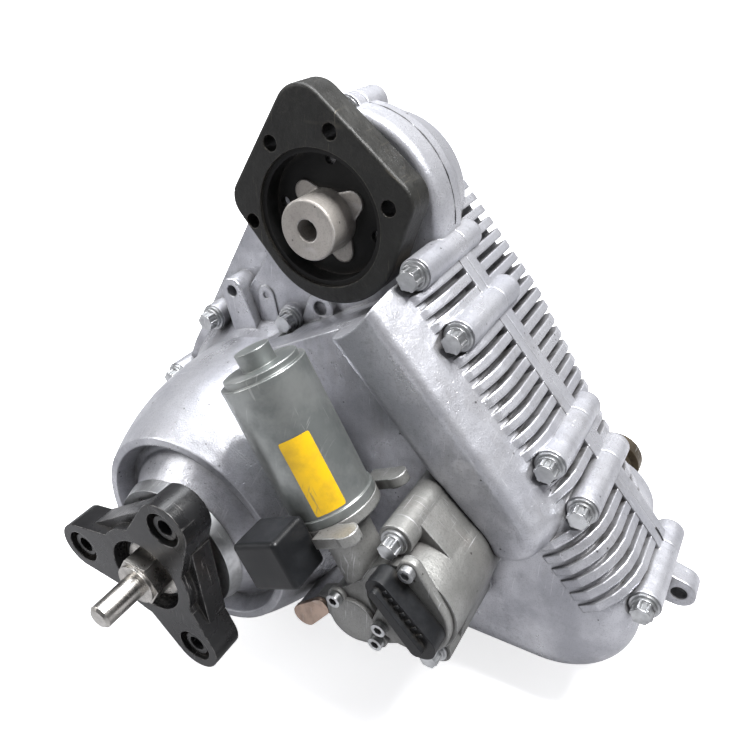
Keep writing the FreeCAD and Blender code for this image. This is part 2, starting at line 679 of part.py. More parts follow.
def cam_shaft():
    shaft = turned([
        (MOTOR_Y - 8, 0), (MOTOR_Y - 8, 8), (CAM_STEP_Y, 8), (CAM_STEP_Y, CAM_SHAFT_R),
        (LEVER_FRONT_Y + LEVER_T + 4, CAM_SHAFT_R), (LEVER_FRONT_Y + LEVER_T + 4, 0),
    ], CAM)
    return fuse([shaft, control_cam()])


# ================================================================= worm drive and servo motor
def motor_point(s, side=0.0):
    """Point s along the motor shaft from beside the worm wheel, side towards the wheel."""
    dx, dz = xz(MOTOR_ANGLE)
    return (CAM[0] + (WORM_CENTRES - side) * dz + s * dx,
            CAM[1] - (WORM_CENTRES - side) * dx + s * dz)


def along_motor(r, s0, s1, side=0.0, y=MOTOR_Y):
    return Part.makeCylinder(r, s1 - s0, at(motor_point(s0, side), y), at(xz(MOTOR_ANGLE), 0))


def motor_block(s0, s1, side0, side1, y0, y1):
    corners = [motor_point(s0, side0), motor_point(s1, side0), motor_point(s1, side1),
               motor_point(s0, side1)]
    return polygon(corners, y0, y1)


def actuator_housing():
    pot = rod(CAM, 28.0, ACT_FACE_Y, ACT_BASE_Y)
    bosses = [rod(p, 9.5, ACT_FACE_Y + 8, ACT_BASE_Y) for p in ACT_FEET]
    ties = [hull([(p, 9.0), (CAM, 27.5)], ACT_FACE_Y + 20, ACT_BASE_Y - 6) for p in ACT_FEET]
    tube = along_motor(13.9, CAN_FRONT, 24.0)
    pad = hull([(PAD, 19.0), (CAM, 24.0)], PAD_Y, ACT_BASE_Y - 12)
    ear = hull([(BRACKET_EAR, 6.0), (PAD, 12.0)], PAD_Y + 3, PAD_Y + 14)
    face = along_motor(MOTOR_R + 1.5, CAN_FRONT, CAN_FRONT + 6)
    ears = []
    for dy in (-25.0, 25.0):
        ears.append(along_motor(6.5, CAN_FRONT, CAN_FRONT + 6, 27.0, MOTOR_Y + dy))
        ears.append(motor_block(CAN_FRONT, CAN_FRONT + 6, 8.0, 27.0, MOTOR_Y + dy - 6, MOTOR_Y + dy + 6))
    solid = fuse([pot, tube, pad, face, ear] + bosses + ties + ears)
    wheel_room = rod(CAM, WHEEL_PITCH_R + 2.2, ACT_FACE_Y - 1, MOTOR_Y + WHEEL_W)
    shaft_bore = rod(CAM, CAM_SHAFT_R + RUN, MOTOR_Y, ACT_BASE_Y + 1)
    worm_bore = along_motor(8.4, CAN_FRONT - 1, 20.0)
    holes = [rod(p, 3.6, ACT_FACE_Y, ACT_BASE_Y + 1) for p in ACT_FEET]
    return cut(solid, [wheel_room, shaft_bore, worm_bore] + holes)


def worm_wheel():
    """Toothed wheel in mesh with the worm; its teeth lean with the worm's lead angle."""
    lean = math.degrees(WHEEL_W * (WORM_LEAD / (2 * math.pi * WORM_PITCH_R)) / WHEEL_PITCH_R)
    pitch = 360.0 / WHEEL_TEETH
    facing = MOTOR_ANGLE - 90.0
    wires = []
    for y, twist in ((MOTOR_Y - WHEEL_W / 2, lean / 2), (MOTOR_Y + WHEEL_W / 2, -lean / 2)):
        points = []
        for i in range(WHEEL_TEETH):
            mid = facing + twist + pitch * (i + 0.5)
            for r, half in ((-1.2, 0.32), (0.8, 0.13), (0.8, -0.13), (-1.2, -0.32)):
                points.append(at(xz(mid - half * pitch, WHEEL_PITCH_R + r * MODULE, CAM), y))
        wires.append(Part.makePolygon(points + points[:1]))
    blank = Part.makeLoft(wires, True, True)
    return blank.cut(rod(CAM, 8.0, MOTOR_Y - 20, MOTOR_Y + 20))


def worm():
    """Single-start worm: a root cylinder with a helical thread swept round it."""
    half = 2.5 * WORM_LEAD
    root = WORM_PITCH_R - 1.1 * MODULE
    helix = Part.makeHelix(WORM_LEAD, 2 * half, WORM_PITCH_R)
    low = root - 0.3 - WORM_PITCH_R
    high = 0.75 * MODULE
    corners = [
        V(WORM_PITCH_R + low, 0, -0.27 * WORM_LEAD), V(WORM_PITCH_R + low, 0, 0.27 * WORM_LEAD),
        V(WORM_PITCH_R + high, 0, 0.1 * WORM_LEAD), V(WORM_PITCH_R + high, 0, -0.1 * WORM_LEAD),
    ]
    section = Part.makePolygon(corners + corners[:1])
    thread = Part.Wire(helix.Edges).makePipeShell([section], True, True)
    core = Part.makeCylinder(root, 2 * half + 8, V(0, 0, -4), V(0, 0, 1))
    body = core.fuse(thread)
    body.translate(V(0, 0, -half))
    return body.cut(Part.makeCylinder(MOTOR_SHAFT_R, 60, V(0, 0, -30)))


def on_motor_axis(shape, s):
    """Turns a shape made along +Z on to the motor shaft, at s."""
    shape.rotate(V(0, 0, 0), V(0, 1, 0), 90.0 - MOTOR_ANGLE)
    shape.translate(at(motor_point(s), MOTOR_Y))
    return shape


def motor_can():
    shell = fuse([
        along_motor(MOTOR_R, CAN_BACK + 2, CAN_FRONT),
        along_motor(MOTOR_R + 1.2, CAN_FRONT - 5, CAN_FRONT),
        along_motor(MOTOR_R - 3, CAN_BACK - 1.5, CAN_BACK + 3),
        along_motor(9.5, CAN_BACK - 11, CAN_BACK),
    ])
    return cut(shell, [along_motor(MOTOR_R - 2, CAN_BACK + 4, CAN_FRONT + 1),
                       along_motor(MOTOR_SHAFT_R + GAP, CAN_BACK - 7, CAN_BACK + 5)])


def motor_magnets():
    tube = along_motor(MOTOR_R - 2.1, CAN_BACK + 14, CAN_FRONT - 14)
    tube = tube.cut(along_motor(MOTOR_R - 5.5, CAN_BACK + 13, CAN_FRONT - 13))
    split = motor_block(CAN_BACK, CAN_FRONT, -5.0, 5.0, MOTOR_Y - 40, MOTOR_Y + 40)
    return tube.cut(split)


def motor_rotor():
    return fuse([
        along_motor(MOTOR_SHAFT_R, CAN_BACK - 5, 18.0),
        along_motor(MOTOR_R - 6.2, CAN_BACK + 16, CAN_FRONT - 16),
        along_motor(9.0, CAN_FRONT - 14, CAN_FRONT - 4),
    ])


def sensor_cover():
    plate = hull([(CAM, 26.0)] + [(p, 6.0) for p in SENSOR_FEET], ACT_FACE_Y - 5, ACT_FACE_Y)
    return plate.makeFillet(1.5, rim_edges(plate, ACT_FACE_Y - 5))


def sensor_connector():
    """Plug on the sensor cover: a long shroud with a raised latch."""
    a = (139.0, 43.0)
    b = (163.0, 17.0)
    shroud = hull([(a, 6.5), (b, 9.0)], ACT_FACE_Y - 17, ACT_FACE_Y - 5)
    latch = hull([(a, 2.5), (b, 3.5)], ACT_FACE_Y - 21, ACT_FACE_Y - 16)
    return fuse([shroud, latch])


def bearing_cover():
    disc = rod(PAD, 15.0, PAD_Y - 3, PAD_Y)
    ears = [rod(xz(a, 17.0, PAD), 5.5, PAD_Y - 3, PAD_Y) for a in PAD_EARS]
    return fuse([disc] + ears)


def socket_screw(centre, seat, r):
    head = rod(centre, r, seat - 4, seat)
    socket = polygon(spread(6, r * 0.6, 0.0, centre), seat - 5, seat - 1.5)
    return head.cut(socket)


def actuator_screws():
    spots = [(p, ACT_FACE_Y - 5) for p in SENSOR_FEET]
    spots += [(xz(a, 17.0, PAD), PAD_Y - 3) for a in PAD_EARS]
    return Part.makeCompound([socket_screw(p, y, 4.2) for p, y in spots])


def actuator_bolts():
    return Part.makeCompound([torx_bolt(p, ACT_FACE_Y + 8 - WASHER_T, 66.0, 3.5) for p in ACT_FEET])


def actuator_washers():
    return Part.makeCompound([
        ring(p, 7.4, 3.6, ACT_FACE_Y + 8 - WASHER_T, ACT_FACE_Y + 8) for p in ACT_FEET
    ])


def connector_cap():
    block = motor_block(-70.0, -41.0, -28.0, 4.0, 6.0, MOTOR_Y - MOTOR_R - 1.6)
    return block.makeFillet(3.0, block.Edges)


def actuator_bracket():
    """Pressed strut from the worm housing to the hood."""
    return hull([(BRACKET_EAR, 5.5), (BRACKET_FOOT, 7.5)], PAD_Y, PAD_Y + 3)


# ================================================================= chain and sprockets
def sprocket_blank(centre, y0, y1):
    """Toothed disc: a tooth under each link, its tip just short of the link's legs."""
    tip = PITCH_R - LEG_DEPTH - TIP_GAP
    points = []
    step = 360.0 / SPROCKET_TEETH
    for i in range(SPROCKET_TEETH):
        mid = FRONT_AXIS_ANGLE + 90 + step * (i + 0.5)
        for drop, half in ((5.0, 4.2), (0.0, 2.7), (0.0, -2.7), (5.0, -4.2)):
            radius = tip - drop
            points.append(xz(mid - math.degrees(half / radius), radius, centre))
    return polygon(points, y0, y1)


def drive_sprocket():
    """Sprocket, its sleeve round the main shaft and the clutch hub on the sleeve's end."""
    y1 = SPROCKET_Y + SPROCKET_W
    sleeve = turned([
        (DISC_START - 0.5, 0), (DISC_START - 0.5, 41.0), (HUB_END_Y, 41.0),
        (HUB_END_Y, SLEEVE_OUT_R), (147.0, SLEEVE_OUT_R), (147.0, 50.0),
        (152.0, 50.0), (152.0, 29.5), (y1 + 1, 29.5), (y1 + 1, 0),
    ])
    body = fuse([sleeve, sprocket_blank(MAIN, SPROCKET_Y, y1)])
    return body.cut(rod(MAIN, SLEEVE_R, 60, 200))


def driven_sprocket():
    y1 = SPROCKET_Y + SPROCKET_W
    body = fuse([sprocket_blank(FRONT, SPROCKET_Y, y1), rod(FRONT, 27.0, 146.0, y1 + 3)])
    return body.cut(rod(FRONT, 19.0, 100, 200))


def chain_joints():
    """Joint centres of the chain, round both sprockets, in order."""
    wrap = SPROCKET_TEETH // 2
    step = 360.0 / SPROCKET_TEETH
    joints = [xz(FRONT_AXIS_ANGLE + 90 + step * i, PITCH_R, MAIN) for i in range(wrap + 1)]
    for i in range(1, STRAND_PITCHES):
        joints.append(xz(FRONT_AXIS_ANGLE, CHAIN_PITCH * i, joints[wrap]))
    joints += [xz(FRONT_AXIS_ANGLE - 90 + step * i, PITCH_R, FRONT) for i in range(wrap + 1)]
    last = joints[-1]
    for i in range(1, STRAND_PITCHES):
        joints.append(xz(FRONT_AXIS_ANGLE + 180, CHAIN_PITCH * i, last))
    return joints


def link_plate(a, b, y0, y1):
    """Inverted-tooth plate from joint a to joint b, its two legs on the right of a to b."""
    ux = (b[0] - a[0]) / CHAIN_PITCH
    uz = (b[1] - a[1]) / CHAIN_PITCH
    outline = [
        (-2.6, 1.5), (-1.2, 4.2), (13.9, 4.2), (15.3, 1.5), (15.3, -1.0), (12.4, -LEG_DEPTH),
        (9.7, -LEG_DEPTH), (8.0, 0.4), (4.7, 0.4), (3.0, -LEG_DEPTH), (0.3, -LEG_DEPTH),
        (-2.6, -1.0),
    ]
    points = [(a[0] + u * ux + v * uz, a[1] + u * uz - v * ux) for u, v in outline]
    return polygon(points, y0, y1)


def drive_chain():
    """Inverted-tooth chain: links with outer plates and pins, and inner links between them."""
    joints = chain_joints()
    count = len(joints)
    y0 = SPROCKET_Y + 0.5
    y1 = SPROCKET_Y + SPROCKET_W - 0.5
    side = 4.0
    solids = []
    for i in range(count):
        a = joints[i]
        b = joints[(i + 1) % count]
        if i % 2:
            solids.append(fuse([
                link_plate(a, b, y0, y0 + side), link_plate(a, b, y1 - side, y1),
                polygon(spread(6, 1.7, 0.0, a), y0, y1), polygon(spread(6, 1.7, 0.0, b), y0, y1),
            ]))
        else:
            block = link_plate(a, b, y0 + side + 0.3, y1 - side - 0.3)
            solids.append(cut(block, [polygon(spread(6, 2.0, 0.0, p), y0, y1) for p in (a, b)]))
    return Part.makeCompound(solids)


# ================================================================= front output
def front_output_shaft():
    return turned([
        (123, 0), (123, FRONT_BEARING_ID_R), (142, FRONT_BEARING_ID_R), (142, 19), (187, 19),
        (187, BEARING_ID_R), (206, BEARING_ID_R), (206, 15), (COLLAR_Y, 15),
        (COLLAR_Y, STUB_R), (FRONT_END_Y - 2, STUB_R), (FRONT_END_Y, STUB_R - 2), (FRONT_END_Y, 0),
    ], FRONT)


def front_flange():
    return turned([
        (206, 15), (206, 22), (229, 22), (229, 27), (236, 27), (236, 20), (238, 20), (238, 15),
    ], FRONT)


# ================================================================= bearings and seals
def races(centre, bore, outer, y0, y1):
    """Inner and outer race of a deep-groove ball bearing and the radius of its ball circle."""
    middle = (bore + outer) / 2
    ball = (outer - bore) * 0.28
    groove = Part.makeTorus(middle, ball + 0.1, at(centre, (y0 + y1) / 2), V(0, 1, 0))
    inner = ring(centre, bore + (outer - bore) * 0.27, bore, y0, y1).cut(groove)
    outside = ring(centre, outer, outer - (outer - bore) * 0.27, y0, y1).cut(groove)
    balls = [Part.makeSphere(ball, at(p, (y0 + y1) / 2)) for p in spread(8, middle, 10.0, centre)]
    return inner, outside, balls


def shaft_seal(centre, shaft_r, bore_r, y0, y1):
    """Lip seal: pressed case with a lip that reaches the shaft."""
    return turned([
        (y0, bore_r), (y0, shaft_r + 2), (y0 + 2, shaft_r + 0.2), (y0 + 4, shaft_r + 0.2),
        (y0 + 3, shaft_r + 4), (y0 + 3, bore_r - 3), (y1, bore_r - 3), (y1, bore_r),
    ], centre)


def dust_shield():
    return turned([
        (24, SEAL_RUN_R), (24, NECK_R + 1), (32, NECK_R + 3.5), (32, NECK_R + 2.4), (25.2, NECK_R),
        (25.2, SEAL_RUN_R),
    ])


# ================================================================= oil pump
def pump_housing():
    body = ring(MAIN, BEARING_OD_R + 4, 30.0, 64.0, 76.0)
    plate = ring(MAIN, 56.0, 26.0, 76.0, 79.0)
    return fuse([body, plate])


def pump_rotor():
    star = polygon([xz(a, 28.0 if i % 2 else 24.5) for i, a in enumerate(range(0, 360, 30))],
                   66.5, 75.5)
    return star.cut(rod(MAIN, SHAFT_R, 60, 80))


# ================================================================= rubber mount
def mount_outline():
    return [((52.0, 182.0), 45.5), ((91.0, 200.0), 14.0), ((41.0, 235.0), 17.0),
            ((6.0, 187.0), 14.0)]


def mount_plate():
    y1 = MOUNT_PLATE_Y + MOUNT_PLATE_T
    plate = hull(mount_outline(), MOUNT_PLATE_Y, y1)
    plate = plate.makeFillet(2.0, rim_edges(plate, MOUNT_PLATE_Y))
    tools = [rod(MOUNT_EYE, MOUNT_EYE_R, MOUNT_PLATE_Y - 1, y1 + 1)]
    tools += [rod(p, MOUNT_HOLE_R, MOUNT_PLATE_Y - 1, y1 + 1) for p in MOUNT_HOLES]
    return cut(plate, tools)


def mount_rubber():
    y0 = MOUNT_PLATE_Y + 2
    y1 = MOUNT_PLATE_Y + MOUNT_PLATE_T - 1
    liner = ring(MOUNT_EYE, MOUNT_EYE_R, MOUNT_EYE_R - 3, y0, y1)
    web = rod(MOUNT_EYE, MOUNT_EYE_R - 2, FOOT_Y + 1.5, y1)
    body = fuse([liner, web])
    voids = [rod(xz(a, 30.0, MOUNT_EYE), 3.2, y0, y1 + 1) for a in (88.0, 178.0, 345.0)]
    return cut(body, [mount_foot(), rod(MOUNT, MOUNT_CORE_R, y0 - 1, y1 + 1)] + voids)


def mount_foot():
    """Lobes of the core, which key it in the rubber."""
    lobes = [hull([(MOUNT, 13.0), (xz(a, 19.0, MOUNT), 6.5)], FOOT_Y, FOOT_Y + FOOT_T)
             for a in FOOT_ANGLES]
    return fuse(lobes)


def mount_core():
    """Aluminium core with a lobed foot; its far end seats on the case."""
    body = rod(MOUNT, MOUNT_CORE_R, MOUNT_CORE_Y, ARM_Y)
    body = body.makeChamfer(0.8, rim_edges(body, MOUNT_CORE_Y))
    return fuse([body, mount_foot()]).cut(rod(MOUNT, 6.2, MOUNT_CORE_Y - 1, ARM_Y + 1))


def mount_bolt():
    head = rod(MOUNT, 6.0, MOUNT_CORE_Y + 14, MOUNT_CORE_Y + 24)
    socket = polygon(spread(6, 3.8, 0.0, MOUNT), MOUNT_CORE_Y + 13, MOUNT_CORE_Y + 19)
    shank = rod(MOUNT, 5.0, MOUNT_CORE_Y + 23, SPLIT_Y - 4)
    return fuse([head, shank]).cut(socket)


# ================================================================= write every piece
def build():
    os.makedirs("parts", exist_ok=True)
    save("rear_housing", rear_housing())
    save("front_cover", front_cover())
    save("housing_bolts", housing_bolts())
    save("housing_washers", housing_washers())
    save("main_shaft", main_shaft())
    save("output_flange", output_flange())
    save("flange_nut", flange_nut())
    save("dust_shield", dust_shield())
    save("clutch_drum", clutch_drum())
    save("steel_plates", steel_plates())
    save("friction_discs", friction_discs())
    save("pressure_plate", pressure_plate())
    save("rear_thrust_bearing", thrust_bearing(PRESSURE_END_Y + 0.3, LEVER_REAR_Y - 0.3))
    save("front_thrust_bearing", thrust_bearing(LEVER_FRONT_Y + LEVER_T + 0.3, 146.7))
    save("rear_ramp_lever", ramp_lever(-1, LEVER_REAR_Y))
    save("front_ramp_lever", ramp_lever(1, LEVER_FRONT_Y))
    save("rear_lever_roller", lever_roller(-1, LEVER_REAR_Y))
    save("front_lever_roller", lever_roller(1, LEVER_FRONT_Y))
    save("ramp_balls", ramp_balls())
    save("cam_shaft", cam_shaft())
    save("worm_wheel", worm_wheel())
    save("worm", on_motor_axis(worm(), 0.0))
    save("motor_rotor", motor_rotor())
    save("motor_can", motor_can())
    save("motor_magnets", motor_magnets())
    save("actuator_housing", actuator_housing())
    save("sensor_cover", sensor_cover())
    save("sensor_connector", sensor_connector())
    save("bearing_cover", bearing_cover())
    save("actuator_screws", actuator_screws())
    save("actuator_bolts", actuator_bolts())
    save("actuator_washers", actuator_washers())
    save("connector_cap", connector_cap())
    save("actuator_bracket", actuator_bracket())
    save("drive_sprocket", drive_sprocket())
    save("driven_sprocket", driven_sprocket())
    save("drive_chain", drive_chain())
    save("front_output_shaft", front_output_shaft())
    save("front_flange", front_flange())
    bearings = {
        "rear": (MAIN, BEARING_ID_R, BEARING_OD_R, 38.5, 55.5),
        "input": (MAIN, 20.0, BEARING_OD_R, 190.5, 206.5),
        "front_rear": (FRONT, FRONT_BEARING_ID_R, FRONT_BEARING_OD_R, 124.0, 140.0),
        "front_output": (FRONT, BEARING_ID_R, BEARING_OD_R, 188.0, 203.0),
    }
    all_balls = []
    for name, sizes in bearings.items():
        inner, outer, balls = races(*sizes)
        save(name + "_bearing_inner_race", inner)
        save(name + "_bearing_outer_race", outer)
        all_balls += balls
    save("bearing_balls", Part.makeCompound(all_balls))
    save("needle_bearing", ring(MAIN, SLEEVE_R, SHAFT_R + RUN, 155.0, 181.0))
    save("rear_seal", shaft_seal(MAIN, SEAL_RUN_R, BEARING_OD_R, 28.0, 36.0))
    save("input_seal", shaft_seal(MAIN, 22.0, 33.0, 210.0, 218.0))
    save("front_output_seal", shaft_seal(FRONT, 22.0, 33.0, 212.0, 220.0))
    save("pump_housing", pump_housing())
    save("pump_rotor", pump_rotor())
    save("mount_plate", mount_plate())
    save("mount_rubber", mount_rubber())
    save("mount_core", mount_core())
    save("mount_bolt", mount_bolt())


build()
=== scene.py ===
import json
import math

import bmesh
import bpy
from mathutils import Matrix, Vector


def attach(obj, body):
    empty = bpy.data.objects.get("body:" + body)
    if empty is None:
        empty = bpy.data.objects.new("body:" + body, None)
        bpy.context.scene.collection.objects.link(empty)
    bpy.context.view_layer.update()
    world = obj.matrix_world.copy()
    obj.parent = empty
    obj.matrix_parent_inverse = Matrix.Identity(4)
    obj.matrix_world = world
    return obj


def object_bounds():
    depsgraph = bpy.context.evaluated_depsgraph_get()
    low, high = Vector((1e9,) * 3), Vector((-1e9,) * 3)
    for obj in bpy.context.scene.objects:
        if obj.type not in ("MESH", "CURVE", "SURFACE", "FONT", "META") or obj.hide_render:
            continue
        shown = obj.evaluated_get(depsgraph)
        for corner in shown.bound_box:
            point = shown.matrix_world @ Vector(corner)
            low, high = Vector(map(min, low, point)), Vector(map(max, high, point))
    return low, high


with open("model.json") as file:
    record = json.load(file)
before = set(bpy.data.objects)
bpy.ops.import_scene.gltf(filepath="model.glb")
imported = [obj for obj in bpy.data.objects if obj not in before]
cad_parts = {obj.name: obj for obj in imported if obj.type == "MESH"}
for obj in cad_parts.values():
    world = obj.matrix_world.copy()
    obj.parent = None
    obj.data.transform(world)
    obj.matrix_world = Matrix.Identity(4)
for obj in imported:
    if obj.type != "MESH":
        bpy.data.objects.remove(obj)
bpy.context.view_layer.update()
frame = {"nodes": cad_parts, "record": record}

# Looks of a chain-driven transfer case. Metres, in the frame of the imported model:
# the shafts run along Y, the origin is the face towards the gearbox, Z is up.
scene = bpy.context.scene

MM = 0.001
FACE_Y = -248.0 * MM           # rear flange's face
SPLIT_Y = FACE_Y + 165 * MM    # joint between the two halves of the case
MAIN = (0.0, 0.0)
FRONT_MM = (202.05, -21.59)
FRONT = (FRONT_MM[0] * MM, FRONT_MM[1] * MM)
MOUNT_MM = (48.0, 181.0)
ARM_MM = (50.0, 178.0)
JOINT_FLANGE = [(MAIN, 106.0), (FRONT_MM, 60.0), (MOUNT_MM, 36.0)]   # circles round the joint, mm
JOINT_WEB = [(MAIN, 105.4), (ARM_MM, 57.4)]
MOTOR_RADIUS = 23.5 * MM
MOTOR_ORIGIN = Vector((122.64 * MM, FACE_Y + 56 * MM, 3.94 * MM))
MOTOR_DIR = Vector((math.cos(math.radians(-61)), 0.0, math.sin(math.radians(-61))))


# ------------------------------------------------------------------ node helpers
class Graph:
    """Short calls for building a node tree."""

    def __init__(self, tree):
        self.tree = tree

    def node(self, kind, **settings):
        made = self.tree.nodes.new(kind)
        for name, value in settings.items():
            setattr(made, name, value)
        return made

    def link(self, source, target):
        self.tree.links.new(source, target)

    def put(self, target, value):
        if isinstance(value, bpy.types.NodeSocket):
            self.link(value, target)
        else:
            target.default_value = value

    def math(self, operation, a, b=0.0, clamp=False):
        made = self.node("ShaderNodeMath", operation=operation, use_clamp=clamp)
        self.put(made.inputs[0], a)
        self.put(made.inputs[1], b)
        return made.outputs[0]

    def mix(self, factor, a, b):
        made = self.node("ShaderNodeMix", data_type="RGBA")
        self.put(made.inputs[0], factor)
        self.put(made.inputs[6], a)
        self.put(made.inputs[7], b)
        return made.outputs[2]

    def ramp(self, value, low, high, to_low=0.0, to_high=1.0):
        made = self.node("ShaderNodeMapRange", interpolation_type="SMOOTHSTEP")
        self.put(made.inputs[0], value)
        made.inputs[1].default_value = low
        made.inputs[2].default_value = high
        self.put(made.inputs[3], to_low)
        self.put(made.inputs[4], to_high)
        return made.outputs[0]

    def place(self):
        return self.node("ShaderNodeTexCoord").outputs["Object"]

    def noise(self, scale, detail=3.0, rough=0.55, vector=None):
        made = self.node("ShaderNodeTexNoise")
        self.put(made.inputs["Scale"], scale)
        made.inputs["Detail"].default_value = detail
        made.inputs["Roughness"].default_value = rough
        self.link(vector or self.place(), made.inputs["Vector"])
        return made.outputs[0]

    def stretched(self, sx, sy, sz):
        made = self.node("ShaderNodeMapping")
        self.link(self.place(), made.inputs[0])
        made.inputs["Scale"].default_value = (sx, sy, sz)
        return made.outputs[0]


def group(name, inputs, outputs):
    """An empty shader group with float inputs {name: default} and outputs {name: socket type}."""
    tree = bpy.data.node_groups.new(name, "ShaderNodeTree")
    for key, default in inputs.items():
        sock = tree.interface.new_socket(key, in_out="INPUT", socket_type="NodeSocketFloat")
        sock.default_value = default
    for key, kind in outputs.items():
        tree.interface.new_socket(key, in_out="OUTPUT", socket_type=kind)
    g = Graph(tree)
    return tree, g, g.node("NodeGroupInput"), g.node("NodeGroupOutput")


def edge_group():
    """Mask of outer edges, broken up by noise, used for real edge wear and for painted edge
    highlights.
    """
    tree, g, gin, gout = group(
        "edge_wear_and_highlight", {"Radius": 0.0012, "Break": 160.0, "Amount": 1.0},
        {"Mask": "NodeSocketFloat"})
    bevel = g.node("ShaderNodeBevel", samples=6)
    g.link(gin.outputs["Radius"], bevel.inputs["Radius"])
    geometry = g.node("ShaderNodeNewGeometry")
    dot = g.node("ShaderNodeVectorMath", operation="DOT_PRODUCT")
    g.link(bevel.outputs[0], dot.inputs[0])
    g.link(geometry.outputs["Normal"], dot.inputs[1])
    turn = g.math("SUBTRACT", 1.0, dot.outputs["Value"])
    edge = g.ramp(turn, 0.01, 0.12)
    crevice = g.node("ShaderNodeAmbientOcclusion", samples=6, inside=False)
    crevice.inputs["Distance"].default_value = 0.004
    open_side = g.ramp(crevice.outputs["AO"], 0.55, 0.9)
    broken = g.ramp(g.noise(gin.outputs["Break"], 5.0, 0.7), 0.38, 0.62)
    mask = g.math("MULTIPLY", g.math("MULTIPLY", edge, open_side), broken)
    g.link(g.math("MULTIPLY", mask, gin.outputs["Amount"], clamp=True), gout.inputs["Mask"])
    return tree


def grime_and_shade_group():
    """Mask of corners found by ambient occlusion and of soft dirt patches; materials use it for
    painted shade in corners and for dirt and dust.
    """
    tree, g, gin, gout = group(
        "grime_and_shade", {"Reach": 0.012, "Patches": 18.0, "Amount": 1.0}, {"Mask": "NodeSocketFloat"})
    shade = g.node("ShaderNodeAmbientOcclusion", samples=8)
    g.link(gin.outputs["Reach"], shade.inputs["Distance"])
    corner = g.ramp(shade.outputs["AO"], 0.85, 0.25)
    patch = g.ramp(g.noise(gin.outputs["Patches"], 6.0, 0.65), 0.42, 0.72)
    speck = g.ramp(g.noise(420.0, 3.0, 0.6), 0.45, 0.75)
    patchy = g.math("ADD", g.math("MULTIPLY", patch, 0.7), 0.45)
    both = g.math("ADD", g.math("MULTIPLY", corner, patchy),
                  g.math("MULTIPLY", g.math("MULTIPLY", patch, speck), 0.22))
    g.link(g.math("MULTIPLY", both, gin.outputs["Amount"], clamp=True), gout.inputs["Mask"])
    return tree


def cast_group():
    """Height of a cast skin: fine sand grain, soft lumps and a few pits."""
    tree, g, gin, gout = group(
        "cast_skin", {"Grain": 1400.0, "Lumps": 90.0, "Pits": 260.0},
        {"Height": "NodeSocketFloat", "Mottle": "NodeSocketFloat", "Fine": "NodeSocketFloat",
         "Wave": "NodeSocketFloat"})
    grain = g.noise(gin.outputs["Grain"], 3.0, 0.6)
    lumps = g.noise(gin.outputs["Lumps"], 3.0, 0.5)
    cells = g.node("ShaderNodeTexVoronoi", feature="F1")
    g.link(g.place(), cells.inputs["Vector"])
    g.link(gin.outputs["Pits"], cells.inputs["Scale"])
    pit = g.ramp(cells.outputs["Distance"], 0.05, 0.16, -0.5, 0.0)
    where = g.ramp(g.noise(40.0, 2.0, 0.5), 0.55, 0.66)
    height = g.math("ADD", g.math("MULTIPLY", grain, 0.35), g.math("MULTIPLY", lumps, 1.2))
    height = g.math("ADD", height, g.math("MULTIPLY", pit, where))
    g.link(height, gout.inputs["Height"])
    g.link(g.noise(26.0, 5.0, 0.6), gout.inputs["Mottle"])
    g.link(g.ramp(grain, 0.5, 0.68), gout.inputs["Fine"])
    g.link(g.noise(34.0, 2.0, 0.45), gout.inputs["Wave"])
    return tree


def scratch_group():
    """Mask of thin scratches in two directions."""
    tree, g, gin, gout = group(
        "scratches", {"Size": 1.0, "Amount": 1.0}, {"Mask": "NodeSocketFloat"})
    masks = []
    for turn, scale in (((0.3, 0.5, 0.2), (24, 900, 60)), ((1.1, -0.4, 0.8), (1100, 30, 50))):
        rotate = g.node("ShaderNodeMapping")
        g.link(g.place(), rotate.inputs[0])
        rotate.inputs["Rotation"].default_value = turn
        rotate.inputs["Scale"].default_value = scale
        sized = g.node("ShaderNodeVectorMath", operation="SCALE")
        g.link(rotate.outputs[0], sized.inputs[0])
        g.link(gin.outputs["Size"], sized.inputs["Scale"])
        masks.append(g.ramp(g.noise(1.0, 2.0, 0.4, sized.outputs[0]), 0.66, 0.72))
    both = g.math("MAXIMUM", masks[0], masks[1])
    where = g.ramp(g.noise(30.0, 3.0, 0.6), 0.45, 0.6)
    both = g.math("MULTIPLY", both, where)
    g.link(g.math("MULTIPLY", both, gin.outputs["Amount"], clamp=True), gout.inputs["Mask"])
    return tree


def stain_group():
    """Mask of thin oily stains that have run and dried."""
    tree, g, gin, gout = group("oil_stain", {"Amount": 1.0}, {"Mask": "NodeSocketFloat"})
    run = g.noise(1.0, 5.0, 0.6, g.stretched(34.0, 60.0, 13.0))
    off_rim = g.math("ABSOLUTE", g.math("SUBTRACT", run, 0.55))
    rim = g.math("SUBTRACT", 1.0, g.math("MULTIPLY", off_rim, 18.0), clamp=True)
    body = g.ramp(run, 0.56, 0.70)
    where = g.ramp(g.noise(9.0, 2.0, 0.5), 0.46, 0.62)
    both = g.math("MULTIPLY", g.math("ADD", g.math("MULTIPLY", rim, 0.35), body), where)
    g.link(g.math("MULTIPLY", both, gin.outputs["Amount"], clamp=True), gout.inputs["Mask"])
    return tree


def speck_group():
    """Mask of small dark specks: pinholes and grit."""
    tree, g, gin, gout = group(
        "specks", {"Scale": 190.0, "Amount": 1.0}, {"Mask": "NodeSocketFloat"})
    cells = g.node("ShaderNodeTexVoronoi", feature="F1")
    g.link(g.place(), cells.inputs["Vector"])
    g.link(gin.outputs["Scale"], cells.inputs["Scale"])
    dot = g.ramp(cells.outputs["Distance"], 0.16, 0.09)
    where = g.ramp(g.noise(70.0, 2.0, 0.5), 0.58, 0.63)
    both = g.math("MULTIPLY", dot, where)
    g.link(g.math("MULTIPLY", both, gin.outputs["Amount"], clamp=True), gout.inputs["Mask"])
    return tree


